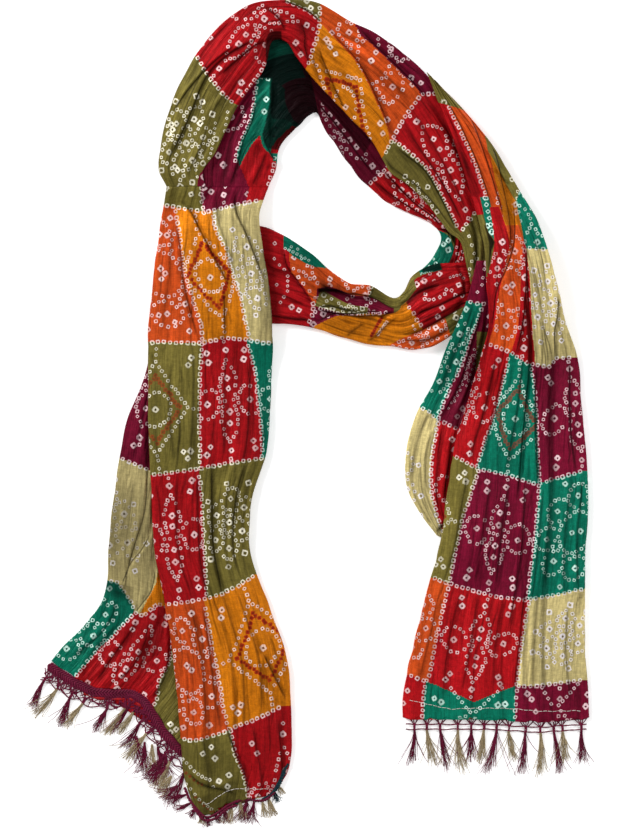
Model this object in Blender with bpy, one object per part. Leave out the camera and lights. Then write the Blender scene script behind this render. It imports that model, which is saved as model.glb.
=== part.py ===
"""A bandhani dupatta stole, wound once into a neck loop and laid on a flat surface with its two fringed ends down.

The stole is one length of crinkled silk, about 0.50 m by 1.98 m. Its route, from hem to hem: the left end,
the arch over the top of the loop, the lower loop that passes under both ends, and the right end. Each stretch
that shows is a loft through the sections of its table, gathered or folded to the width seen there. A stretch
lies on the pile of the stretches under it, or on the floor.

Axes: +X to the right, +Y towards the top of the loop, +Z up from the floor that it lies on. The tables are in
millimetres and the finished meshes in metres. The origin is under the middle of the whole box.
"""

import math
from collections import namedtuple

import bmesh
import bpy
import numpy as np

# ---- driving dimensions, in millimetres ----
GAP = 0.35  # between one piece of cloth and the next
HEM_GAP = 0.5  # between a hem and its braid or net
HEM_STEP = 0.04  # a hem's direction is read this share of its width to each side
SKIN = 1.4  # the least thickness of a gathered stretch
NOSE = 1.8  # how far a folded layer stands out at an edge
EDGE_SHARE = 0.66  # an edge's height, as a share of the thickness at the middle
CORNER = 0.03  # how far inside the edges the corners of the top and the underside lie, as a share of the width
DRAPE_REACH = 13.0  # cloth stays at full height this far past what holds it up
DRAPE_SLOPE = 0.34  # and then it falls this much for each millimetre
GRID = 3.0  # the cell of the pile's height map
GRID_HALF_X, GRID_HALF_Y = 320.0, 430.0
SOFTEN = 4  # passes of smoothing on the top of a draped stretch
SEAM_Y = 192.0  # where the left end meets the arch

CORD = 1.9  # the two cords of a hem net
MESH_GAP = 4.7  # the opening between them
NET_LOW, NET_HIGH = 0.4, 2.2  # the net's underside and top above the floor
RUNG = 2.3
STRAND = 1.4  # the root of one strand of a tassel
STRANDS = 4  # strands in a tassel
TIP_SHARE = 0.55  # a strand's tip, as a share of its root

Section = namedtuple("Section", "left_x left_y right_x right_y thick")
Pleat = namedtuple("Pleat", "start end across_start across_end height width")
Bow = namedtuple("Bow", "depth middle width")
Stretch = namedtuple("Stretch", "name colour sections pleats stations columns layers bow")
Hem = namedtuple("Hem", "name colour stretch across_from across_to band meshes reach lean")

RED, MAROON, OLIVE = (0.58, 0.012, 0.022), (0.22, 0.008, 0.045), (0.19, 0.155, 0.022)
GREEN, ORANGE, BEIGE = (0.0, 0.19, 0.115), (0.72, 0.10, 0.012), (0.54, 0.45, 0.17)

# ---- the stretches, lowest first; each table runs along the cloth ----
# left and right are the edges as one walks along the stretch from its first row
INNER_ARCH = Stretch(
    "inner_arch", GREEN,
    [
        Section(-119, SEAM_Y, -35, SEAM_Y, 6),
        Section(-122, 209, -29, 210, 6),
        Section(-120, 233, -26, 227, 6),
        Section(-111, 263, -17, 238, 6),
        Section(-93, 299, -6, 249, 6),
        Section(-61, 329, 2, 256, 6),
        Section(-17, 341, 7, 255, 6),
        Section(25, 330, 12, 244, 6),
        Section(54, 312, 24, 227, 6),
        Section(79, 291, 36, 210, 6),
        Section(101, 266, 51, 193, 6),
        Section(119, 237, 65, 181, 6),
        Section(132, 203, 80, 173, 6),
        Section(140, 174, 100, 164, 6),
        Section(144, 145, 112, 152, 6),
        Section(138, 115, 108, 137, 6),
        Section(124, 98, 98, 124, 6),
        Section(108, 90, 86, 114, 5),
    ],
    [
        Pleat(0.0, 0.42, 0.76, 0.83, 2.0, 0.09),
        Pleat(0.0, 0.30, 0.93, 0.70, 1.6, 0.06),
        Pleat(0.45, 1.0, 0.84, 0.68, 1.4, 0.09),
    ],
    26, 10, 2, None,
)
LOWER_LOOP = Stretch(
    "lower_loop", RED,
    [
        Section(-89, 150, -85, 86, 7),
        Section(-63, 157, -59, 78, 8),
        Section(-40, 158, -38, 77, 8),
        Section(-20, 149, -21, 77, 9),
        Section(1, 135, -3, 75, 9),
        Section(17, 121, 15, 70, 9),
        Section(34, 110, 34, 64, 9),
        Section(53, 107, 54, 59, 9),
        Section(68, 100, 71, 58, 9),
        Section(79, 103, 87, 55, 9),
        Section(88, 116, 104, 58, 9),
        Section(101, 124, 119, 66, 9),
        Section(118, 127, 135, 78, 8),
        Section(136, 127, 149, 86, 7),
    ],
    [
        Pleat(0.10, 0.72, 0.30, 0.42, -3.4, 0.07),
        Pleat(0.10, 0.72, 0.16, 0.24, 2.2, 0.09),
        Pleat(0.30, 1.0, 0.60, 0.36, 2.4, 0.10),
        Pleat(0.55, 1.0, 0.95, 0.62, -2.2, 0.06),
        Pleat(0.60, 1.0, 0.10, 0.16, -2.6, 0.07),
    ],
    22, 11, 3, None,
)
ARCH = Stretch(
    "arch", RED,
    [
        Section(-125, SEAM_Y, -88, SEAM_Y, 8),
        Section(-127, 207, -91, 205, 8),
        Section(-125, 228, -81, 221, 8),
        Section(-119, 254, -71, 241, 8),
        Section(-107, 283, -62, 261, 8),
        Section(-91, 310, -49, 278, 8),
        Section(-69, 334, -38, 295, 8),
        Section(-46, 347, -32, 316, 8),
        Section(-17, 350, -19, 315, 8),
        Section(7, 347, -10, 302, 8),
        Section(34, 332, 2, 286, 8),
        Section(60, 319, 18, 269, 8),
        Section(84, 300, 36, 250, 8),
        Section(102, 283, 54, 231, 8),
        Section(119, 261, 68, 207, 8),
        Section(130, 232, 87, 192, 8),
        Section(141, 201, 103, 175, 8),
        Section(149, 171, 118, 155, 8),
        Section(153, 149, 129, 145, 8),
        Section(153, 129, 133, 129, 6),
        Section(147, 108, 137, 109, 4),
    ],
    [
        Pleat(0.0, 0.20, 0.42, 0.50, -2.2, 0.07),
        Pleat(0.06, 0.42, 0.16, 0.36, 2.0, 0.10),
        Pleat(0.20, 0.55, 0.76, 0.66, 2.2, 0.09),
        Pleat(0.42, 0.74, 0.86, 0.58, 2.6, 0.07),
        Pleat(0.40, 0.66, 0.60, 0.40, 2.6, 0.08),
        Pleat(0.48, 0.66, 0.20, 0.16, -2.8, 0.05),
        Pleat(0.62, 0.94, 0.36, 0.28, -2.4, 0.05),
        Pleat(0.70, 0.96, 0.72, 0.62, 2.2, 0.09),
    ],
    34, 15, 3, None,
)
RIGHT_UNDER = Stretch(
    "right_end_under", BEIGE,
    [
        Section(141, 129, 155, 129, 2.4),
        Section(136, 105, 166, 105, 2.6),
        Section(128, 81, 175, 81, 2.8),
        Section(116, 54, 179, 52, 2.8),
        Section(105, 25, 175, 20, 2.8),
        Section(92, 0, 166, -10, 2.8),
        Section(83, -31, 162, -41, 2.8),
        Section(83, -61, 158, -74, 2.8),
        Section(94, -84, 153, -99, 2.8),
        Section(109, -104, 145, -116, 2.4),
    ],
    [
        Pleat(0.10, 0.85, 0.30, 0.22, 1.5, 0.10),
        Pleat(0.30, 1.0, 0.55, 0.30, 1.2, 0.09),
    ],
    17, 8, 1, None,
)
RIGHT_FRONT = Stretch(
    "right_end_front", OLIVE,
    [
        Section(99, 289, 111, 277, 4),
        Section(108, 268, 126, 261, 6),
        Section(119, 241, 145, 239, 8),
        Section(128, 215, 161, 216, 8),
        Section(136, 190, 176, 190, 8),
        Section(143, 164, 190, 167, 8),
        Section(148, 141, 200, 140, 8),
        Section(150, 109, 209, 108, 8),
        Section(152, 75, 217, 75, 8),
        Section(145, 45, 227, 44, 8),
        Section(135, 11, 230, 11, 8),
        Section(125, -23, 233, -24, 8),
        Section(118, -65, 236, -67, 8),
        Section(112, -108, 234, -108, 8),
        Section(101, -150, 233, -150, 7),
        Section(90, -193, 233, -193, 7),
        Section(81, -235, 236, -238, 6),
        Section(80, -259, 237, -259, 5),
    ],
    [
        Pleat(0.06, 0.50, 0.30, 0.20, 2.2, 0.08),
        Pleat(0.12, 0.62, 0.55, 0.42, 2.6, 0.08),
        Pleat(0.16, 0.80, 0.74, 0.60, -2.6, 0.05),
        Pleat(0.24, 0.90, 0.92, 0.84, -2.4, 0.05),
        Pleat(0.30, 1.0, 0.36, 0.30, -1.8, 0.04),
        Pleat(0.40, 1.0, 0.10, 0.14, 1.8, 0.07),
        Pleat(0.45, 1.0, 0.72, 0.70, 2.0, 0.08),
        Pleat(0.50, 1.0, 0.50, 0.48, 1.5, 0.06),
    ],
    35, 17, 3, None,
)
LEFT_UNDER = Stretch(
    "left_end_under", MAROON,
    [
        Section(-134, 58, -80, 54, 2.4),
        Section(-140, 30, -72, 28, 2.8),
        Section(-153, -2, -68, -6, 2.8),
        Section(-160, -33, -68, -35, 2.8),
        Section(-166, -74, -69, -78, 2.8),
        Section(-170, -112, -71, -125, 2.8),
        Section(-173, -153, -68, -182, 2.8),
        Section(-188, -177, -62, -227, 2.8),
        Section(-205, -194, -69, -267, 2.8),
        Section(-219, -211, -89, -296, 2.6),
    ],
    [
        Pleat(0.15, 0.80, 0.16, 0.24, 1.4, 0.08),
        Pleat(0.45, 1.0, 0.38, 0.32, 1.8, 0.07),
        Pleat(0.60, 1.0, 0.14, 0.20, -0.9, 0.06),
    ],
    20, 12, 1, Bow(19.0, 0.50, 0.19),
)
LEFT_FRONT = Stretch(
    "left_end_front", ORANGE,
    [
        Section(-123, SEAM_Y, -35, SEAM_Y, 8),
        Section(-123, 175, -43, 170, 8),
        Section(-128, 143, -40, 139, 8),
        Section(-134, 96, -34, 96, 8),
        Section(-136, 54, -32, 58, 8),
        Section(-136, 11, -34, 16, 8),
        Section(-135, -31, -37, -31, 8),
        Section(-133, -74, -50, -74, 7),
        Section(-130, -120, -51, -118, 7),
        Section(-121, -163, -36, -161, 7),
        Section(-115, -205, -21, -204, 7),
        Section(-111, -244, -17, -239, 6),
        Section(-108, -282, -16, -282, 6),
        Section(-105, -310, -20, -306, 5),
        Section(-97, -334, -34, -324, 4),
    ],
    [
        Pleat(0.0, 0.30, 0.22, 0.24, -2.6, 0.05),
        Pleat(0.0, 0.36, 0.60, 0.52, 2.0, 0.09),
        Pleat(0.0, 0.28, 0.82, 0.86, 1.8, 0.06),
        Pleat(0.18, 0.60, 0.50, 0.56, -1.6, 0.04),
        Pleat(0.30, 0.75, 0.78, 0.70, 1.8, 0.09),
        Pleat(0.50, 1.0, 0.30, 0.34, 1.5, 0.08),
        Pleat(0.62, 1.0, 0.86, 0.80, 1.6, 0.08),
        Pleat(0.80, 1.0, 0.55, 0.50, -1.6, 0.05),
    ],
    34, 15, 3, None,
)

# ---- the three hems: a net of two cords, with tassels on its outer cord ----
HEMS = [
    Hem("right_end_fringe", MAROON, RIGHT_FRONT, 0.99, 0.01, 0.0, 13, 30.0, (0.03, -1.0)),
    Hem("left_under_fringe", MAROON, LEFT_UNDER, 0.74, 0.0, 8.0, 10, 30.0, (-0.52, -0.86)),
    Hem("left_front_fringe", MAROON, LEFT_FRONT, 0.98, 0.02, 0.0, 5, 10.0, (0.12, -1.0)),
]


def clear_scene():
    for thing in list(bpy.data.objects):
        bpy.data.objects.remove(thing, do_unlink=True)


def make_material(name, colour, roughness):
    material = bpy.data.materials.new(name)
    material.use_nodes = True
    shader = material.node_tree.nodes["Principled BSDF"]
    shader.inputs["Base Color"].default_value = (*colour, 1.0)
    shader.inputs["Roughness"].default_value = roughness
    shader.inputs["Metallic"].default_value = 0.0
    return material


def catmull_rom(points, at):
    """Read the curve through points, a row each, at the row numbers in at."""
    points = np.asarray(points, float)
    last = len(points) - 1
    first_ghost = 2 * points[0] - points[1]
    last_ghost = 2 * points[last] - points[last - 1]
    ghosts = np.vstack([first_ghost, points, last_ghost])
    k = np.clip(np.floor(at).astype(int), 0, last - 1)
    t = (np.asarray(at, float) - k)[:, None]
    a, b, c, d = ghosts[k], ghosts[k + 1], ghosts[k + 2], ghosts[k + 3]
    return 0.5 * (2 * b + (c - a) * t + (2 * a - 5 * b + 4 * c - d) * t**2 + (3 * b - a - 3 * c + d) * t**3)


def stations_of(stretch):
    """The sections of a stretch at evenly spaced stations along its middle."""
    fine = catmull_rom(stretch.sections, np.linspace(0, len(stretch.sections) - 1, 600))
    middle = (fine[:, 0:2] + fine[:, 2:4]) / 2
    along = np.concatenate([[0], np.cumsum(np.linalg.norm(np.diff(middle, axis=0), axis=1))])
    wanted = np.linspace(0, along[-1], stretch.stations)
    return np.stack([np.interp(wanted, along, fine[:, i]) for i in range(fine.shape[1])], axis=1)


class Pile:
    """The height of the cloth laid so far, on a square grid over the floor."""

    def __init__(self):
        rows = int(2 * GRID_HALF_Y / GRID) + 1
        columns = int(2 * GRID_HALF_X / GRID) + 1
        self.height = np.zeros((rows, columns))

    def add(self, top):
        """Raise the pile to a top surface, given as an array of sections of points."""
        fine = 6
        v = np.linspace(0, top.shape[0] - 1, (top.shape[0] - 1) * fine + 1)
        u = np.linspace(0, top.shape[1] - 1, (top.shape[1] - 1) * fine + 1)
        i = np.minimum(v.astype(int), top.shape[0] - 2)
        j = np.minimum(u.astype(int), top.shape[1] - 2)
        s, t = (v - i)[:, None, None], (u - j)[None, :, None]
        near, far = top[i], top[i + 1]
        points = ((1 - s) * ((1 - t) * near[:, j] + t * near[:, j + 1])
                  + s * ((1 - t) * far[:, j] + t * far[:, j + 1])).reshape(-1, 3)
        for shift_x in (-0.5, 0.5):
            for shift_y in (-0.5, 0.5):
                x = np.round((points[:, 0] + GRID_HALF_X) / GRID + shift_x * 0.9).astype(int)
                y = np.round((points[:, 1] + GRID_HALF_Y) / GRID + shift_y * 0.9).astype(int)
                np.maximum.at(self.height, (y, x), points[:, 2])

    def envelope(self):
        """What cloth laid over the pile rests on: full height near the pile, then falling to the floor."""
        tallest = self.height.max()
        reach = int(math.ceil((DRAPE_REACH + tallest / DRAPE_SLOPE) / GRID)) + 1
        result = np.zeros_like(self.height)
        rows, columns = self.height.shape
        padded = np.pad(self.height, reach)
        for dy in range(-reach, reach + 1):
            for dx in range(-reach, reach + 1):
                drop = DRAPE_SLOPE * max(0.0, math.hypot(dx, dy) * GRID - DRAPE_REACH)
                if drop < tallest:
                    moved = padded[reach + dy:reach + dy + rows, reach + dx:reach + dx + columns]
                    np.maximum(result, moved - drop, out=result)
        return result


def smoothed(grid, passes):
    for _ in range(passes):
        padded = np.pad(grid, 1, mode="edge")
        grid = (padded[:-2, 1:-1] + padded[2:, 1:-1] + padded[1:-1, :-2] + padded[1:-1, 2:] + 4 * grid) / 8
    return grid


def read_grid(grid, x, y):
    column = np.clip((x + GRID_HALF_X) / GRID, 0, grid.shape[1] - 1.001)
    row = np.clip((y + GRID_HALF_Y) / GRID, 0, grid.shape[0] - 1.001)
    i, j = row.astype(int), column.astype(int)
    s, t = row - i, column - j
    return ((1 - s) * ((1 - t) * grid[i, j] + t * grid[i, j + 1])
            + s * ((1 - t) * grid[i + 1, j] + t * grid[i + 1, j + 1]))


def bell(distance):
    return np.exp(-distance * distance)


def bow_of(stretch, across, along):
    """How far a section curves back from its straight line, growing towards the hem."""
    if stretch.bow is None:
        return np.zeros_like(across)
    return stretch.bow.depth * bell((across - stretch.bow.middle) / stretch.bow.width) * along**6


def plan(stretch, row, across, along):
    """Points across one section, seen from above."""
    left, right = row[0:2], row[2:4]
    side = (right - left) / np.linalg.norm(right - left)
    back = np.array([-side[1], side[0]])
    bow = bow_of(stretch, across, along)
    return left + across[:, None] * (right - left) + bow[:, None] * back


def pleat_height(pleats, across, along):
    total = np.zeros_like(across)
    for p in pleats:
        if p.start <= along <= p.end:
            share = (along - p.start) / (p.end - p.start)
            at_start = 1.0 if p.start == 0.0 else min(1.0, 5 * share)
            at_end = 1.0 if p.end == 1.0 else min(1.0, 5 * (1 - share))
            centre = p.across_start + share * (p.across_end - p.across_start)
            total += p.height * at_start * at_end * bell((across - centre) / p.width)
    return total


def crown(across):
    """The rounded height of a gathered stretch from edge to edge, 1 at its middle."""
    return 1 - (1 - EDGE_SHARE) * np.abs(2 * across - 1) ** 3.0


def edge_points(stretch, row, side, low, high, along):
    """The folded layers at one edge, from the underside up: a nose for each layer and a notch between two."""
    left, right = row[0:2], row[2:4]
    out = (right - left) / np.linalg.norm(right - left) * (1 if side else -1)
    edge = right if side else left
    points = []
    steps = 2 * stretch.layers - 1
    for step in range(steps):
        height = low + (high - low) * (step + 1) / (steps + 1)
        if step % 2 == 0:
            depth = NOSE * (0.55 + 0.45 * math.sin(9.0 * along * (1 + 0.3 * step) + 2.1 * step + 3 * side))
        else:
            depth = -0.4 * NOSE
        points.append((*(edge + out * depth), height))
    return points


def loft(stretch, pile):
    """The closed solid of a stretch. It returns the sections' rings and the top surface, in millimetres."""
    under = pile.envelope()
    draped = smoothed(under, SOFTEN)
    rows = stations_of(stretch)
    top_across = np.linspace(CORNER, 1 - CORNER, stretch.columns)
    low_columns = stretch.columns if stretch.bow else (stretch.columns + 1) // 2
    low_across = np.linspace(CORNER, 1 - CORNER, low_columns)
    rings, tops = [], []
    for number, row in enumerate(rows):
        along = number / (len(rows) - 1)
        low = plan(stretch, row, low_across, along)
        rest = read_grid(under, low[:, 0], low[:, 1])
        low_z = rest + GAP * np.minimum(1.0, rest / 2)
        top = plan(stretch, row, top_across, along)
        top_rest = read_grid(under, top[:, 0], top[:, 1]) + GAP
        fold = pleat_height(stretch.pleats, top_across, along)
        top_z = read_grid(draped, top[:, 0], top[:, 1]) + row[4] * crown(top_across) + fold
        least = SKIN if stretch.layers > 1 else 0.6 * row[4]
        top_z = np.maximum(top_z, top_rest + least)
        ring = [(*p, z) for p, z in zip(low, low_z)]
        ring += edge_points(stretch, row, 1, low_z[-1], top_z[-1], along)
        ring += [(*p, z) for p, z in zip(top[::-1], top_z[::-1])]
        ring += edge_points(stretch, row, 0, low_z[0], top_z[0], along)[::-1]
        rings.append(ring)
        outer = plan(stretch, row, np.linspace(-0.02, 1.02, stretch.columns), along)
        tops.append([(*p, z) for p, z in zip(outer, top_z)])
    pile.add(np.array(tops))
    return np.array(rings)


def to_metres(point):
    return tuple(value * 0.001 for value in point)


def finish_object(name, colour, mesh_data, collection, roughness=0.55):
    mesh = bpy.data.meshes.new(name)
    mesh_data.to_mesh(mesh)
    mesh_data.free()
    mesh.materials.append(make_material(name + "_cloth", colour, roughness))
    thing = bpy.data.objects.new(name, mesh)
    collection.objects.link(thing)
    return thing


def build_stretch(stretch, pile, collection):
    rings = loft(stretch, pile)
    cloth = bmesh.new()
    loops = [[cloth.verts.new(to_metres(p)) for p in ring] for ring in rings]
    count = rings.shape[1]
    for near, far in zip(loops[:-1], loops[1:]):
        for i in range(count):
            j = (i + 1) % count
            cloth.faces.new((near[i], near[j], far[j], far[i]))
    cloth.faces.new(loops[0][::-1])
    cloth.faces.new(loops[-1])
    bmesh.ops.triangulate(cloth, faces=cloth.faces[:], quad_method="SHORT_EDGE", ngon_method="EAR_CLIP")
    bmesh.ops.recalc_face_normals(cloth, faces=cloth.faces[:])
    return finish_object(stretch.name, stretch.colour, cloth, collection)


def hem_frame(hem, offset, share):
    """A point on the line of the cloth's last section, moved out from it by offset."""
    row = stations_of(hem.stretch)[-1]
    corners = np.linspace(CORNER, 1 - CORNER, hem.stretch.columns)
    line = plan(hem.stretch, row, corners, 1.0)
    across = hem.across_from + share * (hem.across_to - hem.across_from)
    point = np.array([np.interp(across, corners, line[:, 0]), np.interp(across, corners, line[:, 1])])
    near, far = plan(hem.stretch, row, np.array([across - HEM_STEP, across + HEM_STEP]), 1.0)
    tangent = (far - near) / np.linalg.norm(far - near)
    return point + offset * np.array([tangent[1], -tangent[0]])


def hem_grid(hem, offsets, shares):
    return [[hem_frame(hem, offset, share) for share in shares] for offset in offsets]


def strip_faces(sheet, grid, keep, height):
    verts = [[sheet.verts.new((*p, height)) for p in line] for line in grid]
    for i in range(len(grid) - 1):
        for j in range(len(grid[0]) - 1):
            if keep(i, j):
                sheet.faces.new((verts[i][j], verts[i][j + 1], verts[i + 1][j + 1], verts[i + 1][j]))
    return verts


def thicken(sheet, height):
    """Raise a flat sheet into a closed wall, straight up."""
    raised = bmesh.ops.extrude_face_region(sheet, geom=sheet.faces[:])
    for vert in [item for item in raised["geom"] if isinstance(item, bmesh.types.BMVert)]:
        vert.co.z += height
    # the region's own faces stay below as the underside
    bmesh.ops.recalc_face_normals(sheet, faces=sheet.faces[:])


def net_shares(hem):
    """The places of the rungs and of the strands' roots along a hem, as shares of its length."""
    root = [RUNG] + [STRAND] * STRANDS
    total = 1.0 / hem.meshes
    start, end = hem_frame(hem, 0, 0.0), hem_frame(hem, 0, 1.0)
    length = float(np.linalg.norm(end - start))
    unit = [size / length for size in root]
    shares = [0.0]
    for mesh in range(hem.meshes):
        for width in unit:
            shares.append(shares[-1] + width)
        shares.append((mesh + 1) * total)
    shares[-1] = 1.0 - RUNG / length
    return shares + [1.0]


def build_hem(hem, collection):
    """A net of two cords and their rungs, with a tassel's strands drawn out of the outer cord at each mesh."""
    shares = net_shares(hem)
    inner = HEM_GAP + (hem.band + HEM_GAP if hem.band else 0.0)
    offsets = [inner, inner + CORD, inner + CORD + MESH_GAP, inner + 2 * CORD + MESH_GAP]
    cells = STRANDS + 2

    def keep(i, j):
        return i != 1 or j % cells == 0 or j == len(shares) - 2

    net = bmesh.new()
    verts = strip_faces(net, hem_grid(hem, offsets, shares), keep, NET_LOW)
    roots = []
    for mesh in range(hem.meshes):
        for strand in range(STRANDS):
            j = mesh * cells + 1 + strand
            roots.append((mesh, strand, (verts[3][j].co.copy() + verts[3][j + 1].co) / 2))
    thicken(net, NET_HIGH - NET_LOW)
    net.faces.ensure_lookup_table()
    outer = {}
    for face in net.faces:
        middle = face.calc_center_median()
        if abs(face.normal.z) < 0.1:
            for mesh, strand, root in roots:
                if (middle.xy - root.xy).length < 0.02 * STRAND:
                    outer[(mesh, strand)] = face
    lean = np.array(hem.lean) / np.linalg.norm(hem.lean)
    side = np.array([-lean[1], lean[0]])
    for (mesh, strand), face in sorted(outer.items(), key=lambda item: item[0]):
        draw_strand(net, face, mesh, strand, hem.reach, lean, side)
    bmesh.ops.triangulate(net, faces=net.faces[:], quad_method="SHORT_EDGE", ngon_method="EAR_CLIP")
    bmesh.ops.recalc_face_normals(net, faces=net.faces[:])
    for vert in net.verts:
        vert.co = to_metres(vert.co)
    return finish_object(hem.name, hem.colour, net, collection, 0.7)


def draw_strand(net, face, mesh, strand, reach, lean, side):
    """Two lengths of one strand, tapering, drawn out of a face of the outer cord."""
    length = reach * (0.86 + 0.14 * math.sin(2.3 * mesh + 1.1 * strand))
    sway = 1.6 * math.sin(1.7 * mesh) * side
    for share, narrow in ((0.45, 0.78), (0.55, TIP_SHARE / 0.78)):
        made = bmesh.ops.extrude_discrete_faces(net, faces=[face])
        face = made["faces"][0]
        middle = face.calc_center_median()
        for vert in face.verts:
            offset = vert.co - middle
            step = lean * length * share + sway * share
            vert.co.x = middle.x + offset.x * narrow + step[0]
            vert.co.y = middle.y + offset.y * narrow + step[1]
            vert.co.z = middle.z + offset.z * narrow


def build_band(hem, name, colour, collection):
    """The braid sewn along a hem, outside the cloth's edge and inside the net."""
    shares = np.linspace(0.0, 1.0, 22)
    offsets = [HEM_GAP, HEM_GAP + hem.band / 2, HEM_GAP + hem.band]
    band = bmesh.new()
    strip_faces(band, hem_grid(hem, offsets, shares), lambda i, j: True, 0.0)
    thicken(band, 3.0)
    bmesh.ops.triangulate(band, faces=band.faces[:], quad_method="SHORT_EDGE")
    for vert in band.verts:
        vert.co = to_metres(vert.co)
    return finish_object(name, colour, band, collection, 0.7)


def main():
    clear_scene()
    collection = bpy.data.collections.new("dupatta_stole")
    bpy.context.scene.collection.children.link(collection)
    pile = Pile()
    for stretch in (INNER_ARCH, LOWER_LOOP, ARCH, RIGHT_UNDER, RIGHT_FRONT):
        build_stretch(stretch, pile, collection)
    left_pile = Pile()
    loft(LOWER_LOOP, left_pile)
    for stretch in (LEFT_UNDER, LEFT_FRONT):
        build_stretch(stretch, left_pile, collection)
    for hem in HEMS:
        build_hem(hem, collection)
        if hem.band:
            build_band(hem, "left_under_band", MAROON, collection)


main()
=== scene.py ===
"""The looks of a bandhani dupatta stole that is laid flat in a neck loop, around its packed construction.

Each stretch of cloth is a fine closed shell on the form of its solid. Its own creases and pleats are raised
in the mesh, and its print is charted cell by cell, as the dyer lays it out. The hem nets and tassels are
swept threads.

Tables are in millimetres, or in shares of a stretch: across from its left edge, and along from its first
section.
"""

import math
from collections import namedtuple

import bpy
import numpy as np
from mathutils.bvhtree import BVHTree
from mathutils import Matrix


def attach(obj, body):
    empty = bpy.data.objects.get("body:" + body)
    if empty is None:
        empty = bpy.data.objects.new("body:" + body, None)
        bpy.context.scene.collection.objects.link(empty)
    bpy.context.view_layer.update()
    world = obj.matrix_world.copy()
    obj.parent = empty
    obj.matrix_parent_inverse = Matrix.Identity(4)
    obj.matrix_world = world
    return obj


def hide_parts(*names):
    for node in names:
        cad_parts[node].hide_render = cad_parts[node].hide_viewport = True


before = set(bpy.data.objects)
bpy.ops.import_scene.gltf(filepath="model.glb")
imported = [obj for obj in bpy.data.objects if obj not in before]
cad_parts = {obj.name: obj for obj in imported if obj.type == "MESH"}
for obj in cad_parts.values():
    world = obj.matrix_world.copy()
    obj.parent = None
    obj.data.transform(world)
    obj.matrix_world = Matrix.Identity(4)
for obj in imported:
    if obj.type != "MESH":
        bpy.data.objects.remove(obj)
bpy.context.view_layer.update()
MM = 0.001

# ---- the cloth's own sizes, in millimetres ----
CELL_WIDTH, CELL_LENGTH = 87.0, 110.0  # one printed cell
BORDER_PITCH = 4.9  # from dot to dot on a cell's border
BORDER_DOT, SMALL_DOT, BIG_DOT, LINE_DOT = 2.0, 1.65, 2.65, 2.0  # half the size of each kind of dot
FACE = 1.0  # the side of one face of the fine cloth
MOST_COLUMNS = 134  # points across the top of a stretch, at most, which keeps each piece light
CORNER = 0.03  # where a stretch's top ends and its rounded edge begins, as a share of the width
NOSE = 1.6  # how far a folded layer stands out at an edge
NOTCH = 0.7  # how far the gap between two layers goes in
LOW_COLUMNS = 12  # points across an underside
SMOOTH = 6.0  # the cloth rounds the solid's facets over this distance
CLEAR = 0.25  # between one stretch and what lies over it
SEAM_BLEND = 26.0  # the left end takes the arch's height over this distance
SEAM_TUCK = 0.6  # and reaches this far under it
CREASE_REACH = 30.0  # no crease is felt further off than this
MOST_GATHERED = 0.72  # crinkles gather a cell to this share of its size at most
HOLLOW_EDGE = 2.4  # the painted shade of a hollow fades in over this distance at its edge
ABOVE_ALL, BELOW_ALL = 200.0, -5.0  # the heights that rays start from
RAY_START = 4.0  # a ray up to the cloth above starts this far below the face
SEAM_DROP = 0.04  # the left end's face starts this far below the arch's
LEAST_THICK = 0.6  # of the cloth, wherever layers above press it down

Section = namedtuple("Section", "left_x left_y right_x right_y")
Bow = namedtuple("Bow", "depth middle before after scallop count")
Crease = namedtuple("Crease", "path height soft_side steep_side")
Shade = namedtuple("Shade", "across along across_size along_size strength")
Hollow = namedtuple("Hollow", "start end left right strength")
Field = namedtuple("Field", "cell start end left right across along")
Dot = namedtuple("Dot", "x y size kind turn")
Stretch = namedtuple("Stretch", ["name", "sections", "bow", "layers", "under_these", "seed",
                                 "chart", "borders", "knots", "creases", "shades", "hollows"])


def table(kind, rows):
    """Rows of plain values, each made into one of its kind."""
    return [kind(*row) for row in rows]


# ---- where each stretch lies: its two edges, as one walks along it ----
INNER_ARCH_EDGES = table(Section, [
    (-119, 192, -35, 192), (-122, 209, -29, 210), (-120, 233, -26, 227), (-111, 263, -17, 238),
    (-93, 299, -6, 249), (-61, 329, 2, 256), (-17, 341, 7, 255), (25, 330, 12, 244), (54, 312, 24, 227),
    (79, 291, 36, 210), (101, 266, 51, 193), (119, 237, 65, 181), (132, 203, 80, 173), (140, 174, 100, 164),
    (144, 145, 112, 152), (138, 115, 108, 137), (124, 98, 98, 124), (108, 90, 86, 114),
])
LOWER_LOOP_EDGES = table(Section, [
    (-89, 150, -85, 86), (-63, 157, -59, 78), (-40, 158, -38, 77), (-20, 149, -21, 77), (1, 135, -3, 75),
    (17, 121, 15, 70), (34, 110, 34, 64), (53, 107.5, 54, 59), (71, 97, 71, 58), (80, 102.5, 87, 55),
    (88, 116, 104, 58), (101, 124, 119, 66), (118, 127, 135, 78), (136, 127, 149, 86),
])
ARCH_EDGES = table(Section, [
    (-121, 192, -88, 192), (-127, 207, -91, 205), (-125, 228, -81, 221), (-119, 254, -71, 241),
    (-107, 283, -62, 261), (-91, 310, -49, 278), (-69, 334, -38, 295), (-46, 347, -32, 316),
    (-17, 350, -19, 315), (7, 347, -10, 302), (34, 332, 2, 286), (60, 319, 18, 269), (84, 300, 36, 250),
    (102, 283, 54, 231), (119, 261, 68, 207), (130, 232, 87, 192), (141, 201, 103, 175), (149, 171, 118, 155),
    (153, 149, 129, 145), (153, 129, 133, 129), (147, 108, 137, 109),
])
RIGHT_UNDER_EDGES = table(Section, [
    (141, 129, 155, 129), (136, 105, 166, 105), (128, 81, 175, 81), (116, 54, 179, 52), (105, 25, 175, 20),
    (92, 0, 166, -10), (83, -31, 162, -41), (83, -61, 158, -74), (94, -84, 153, -99), (109, -104, 145, -116),
])
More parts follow.
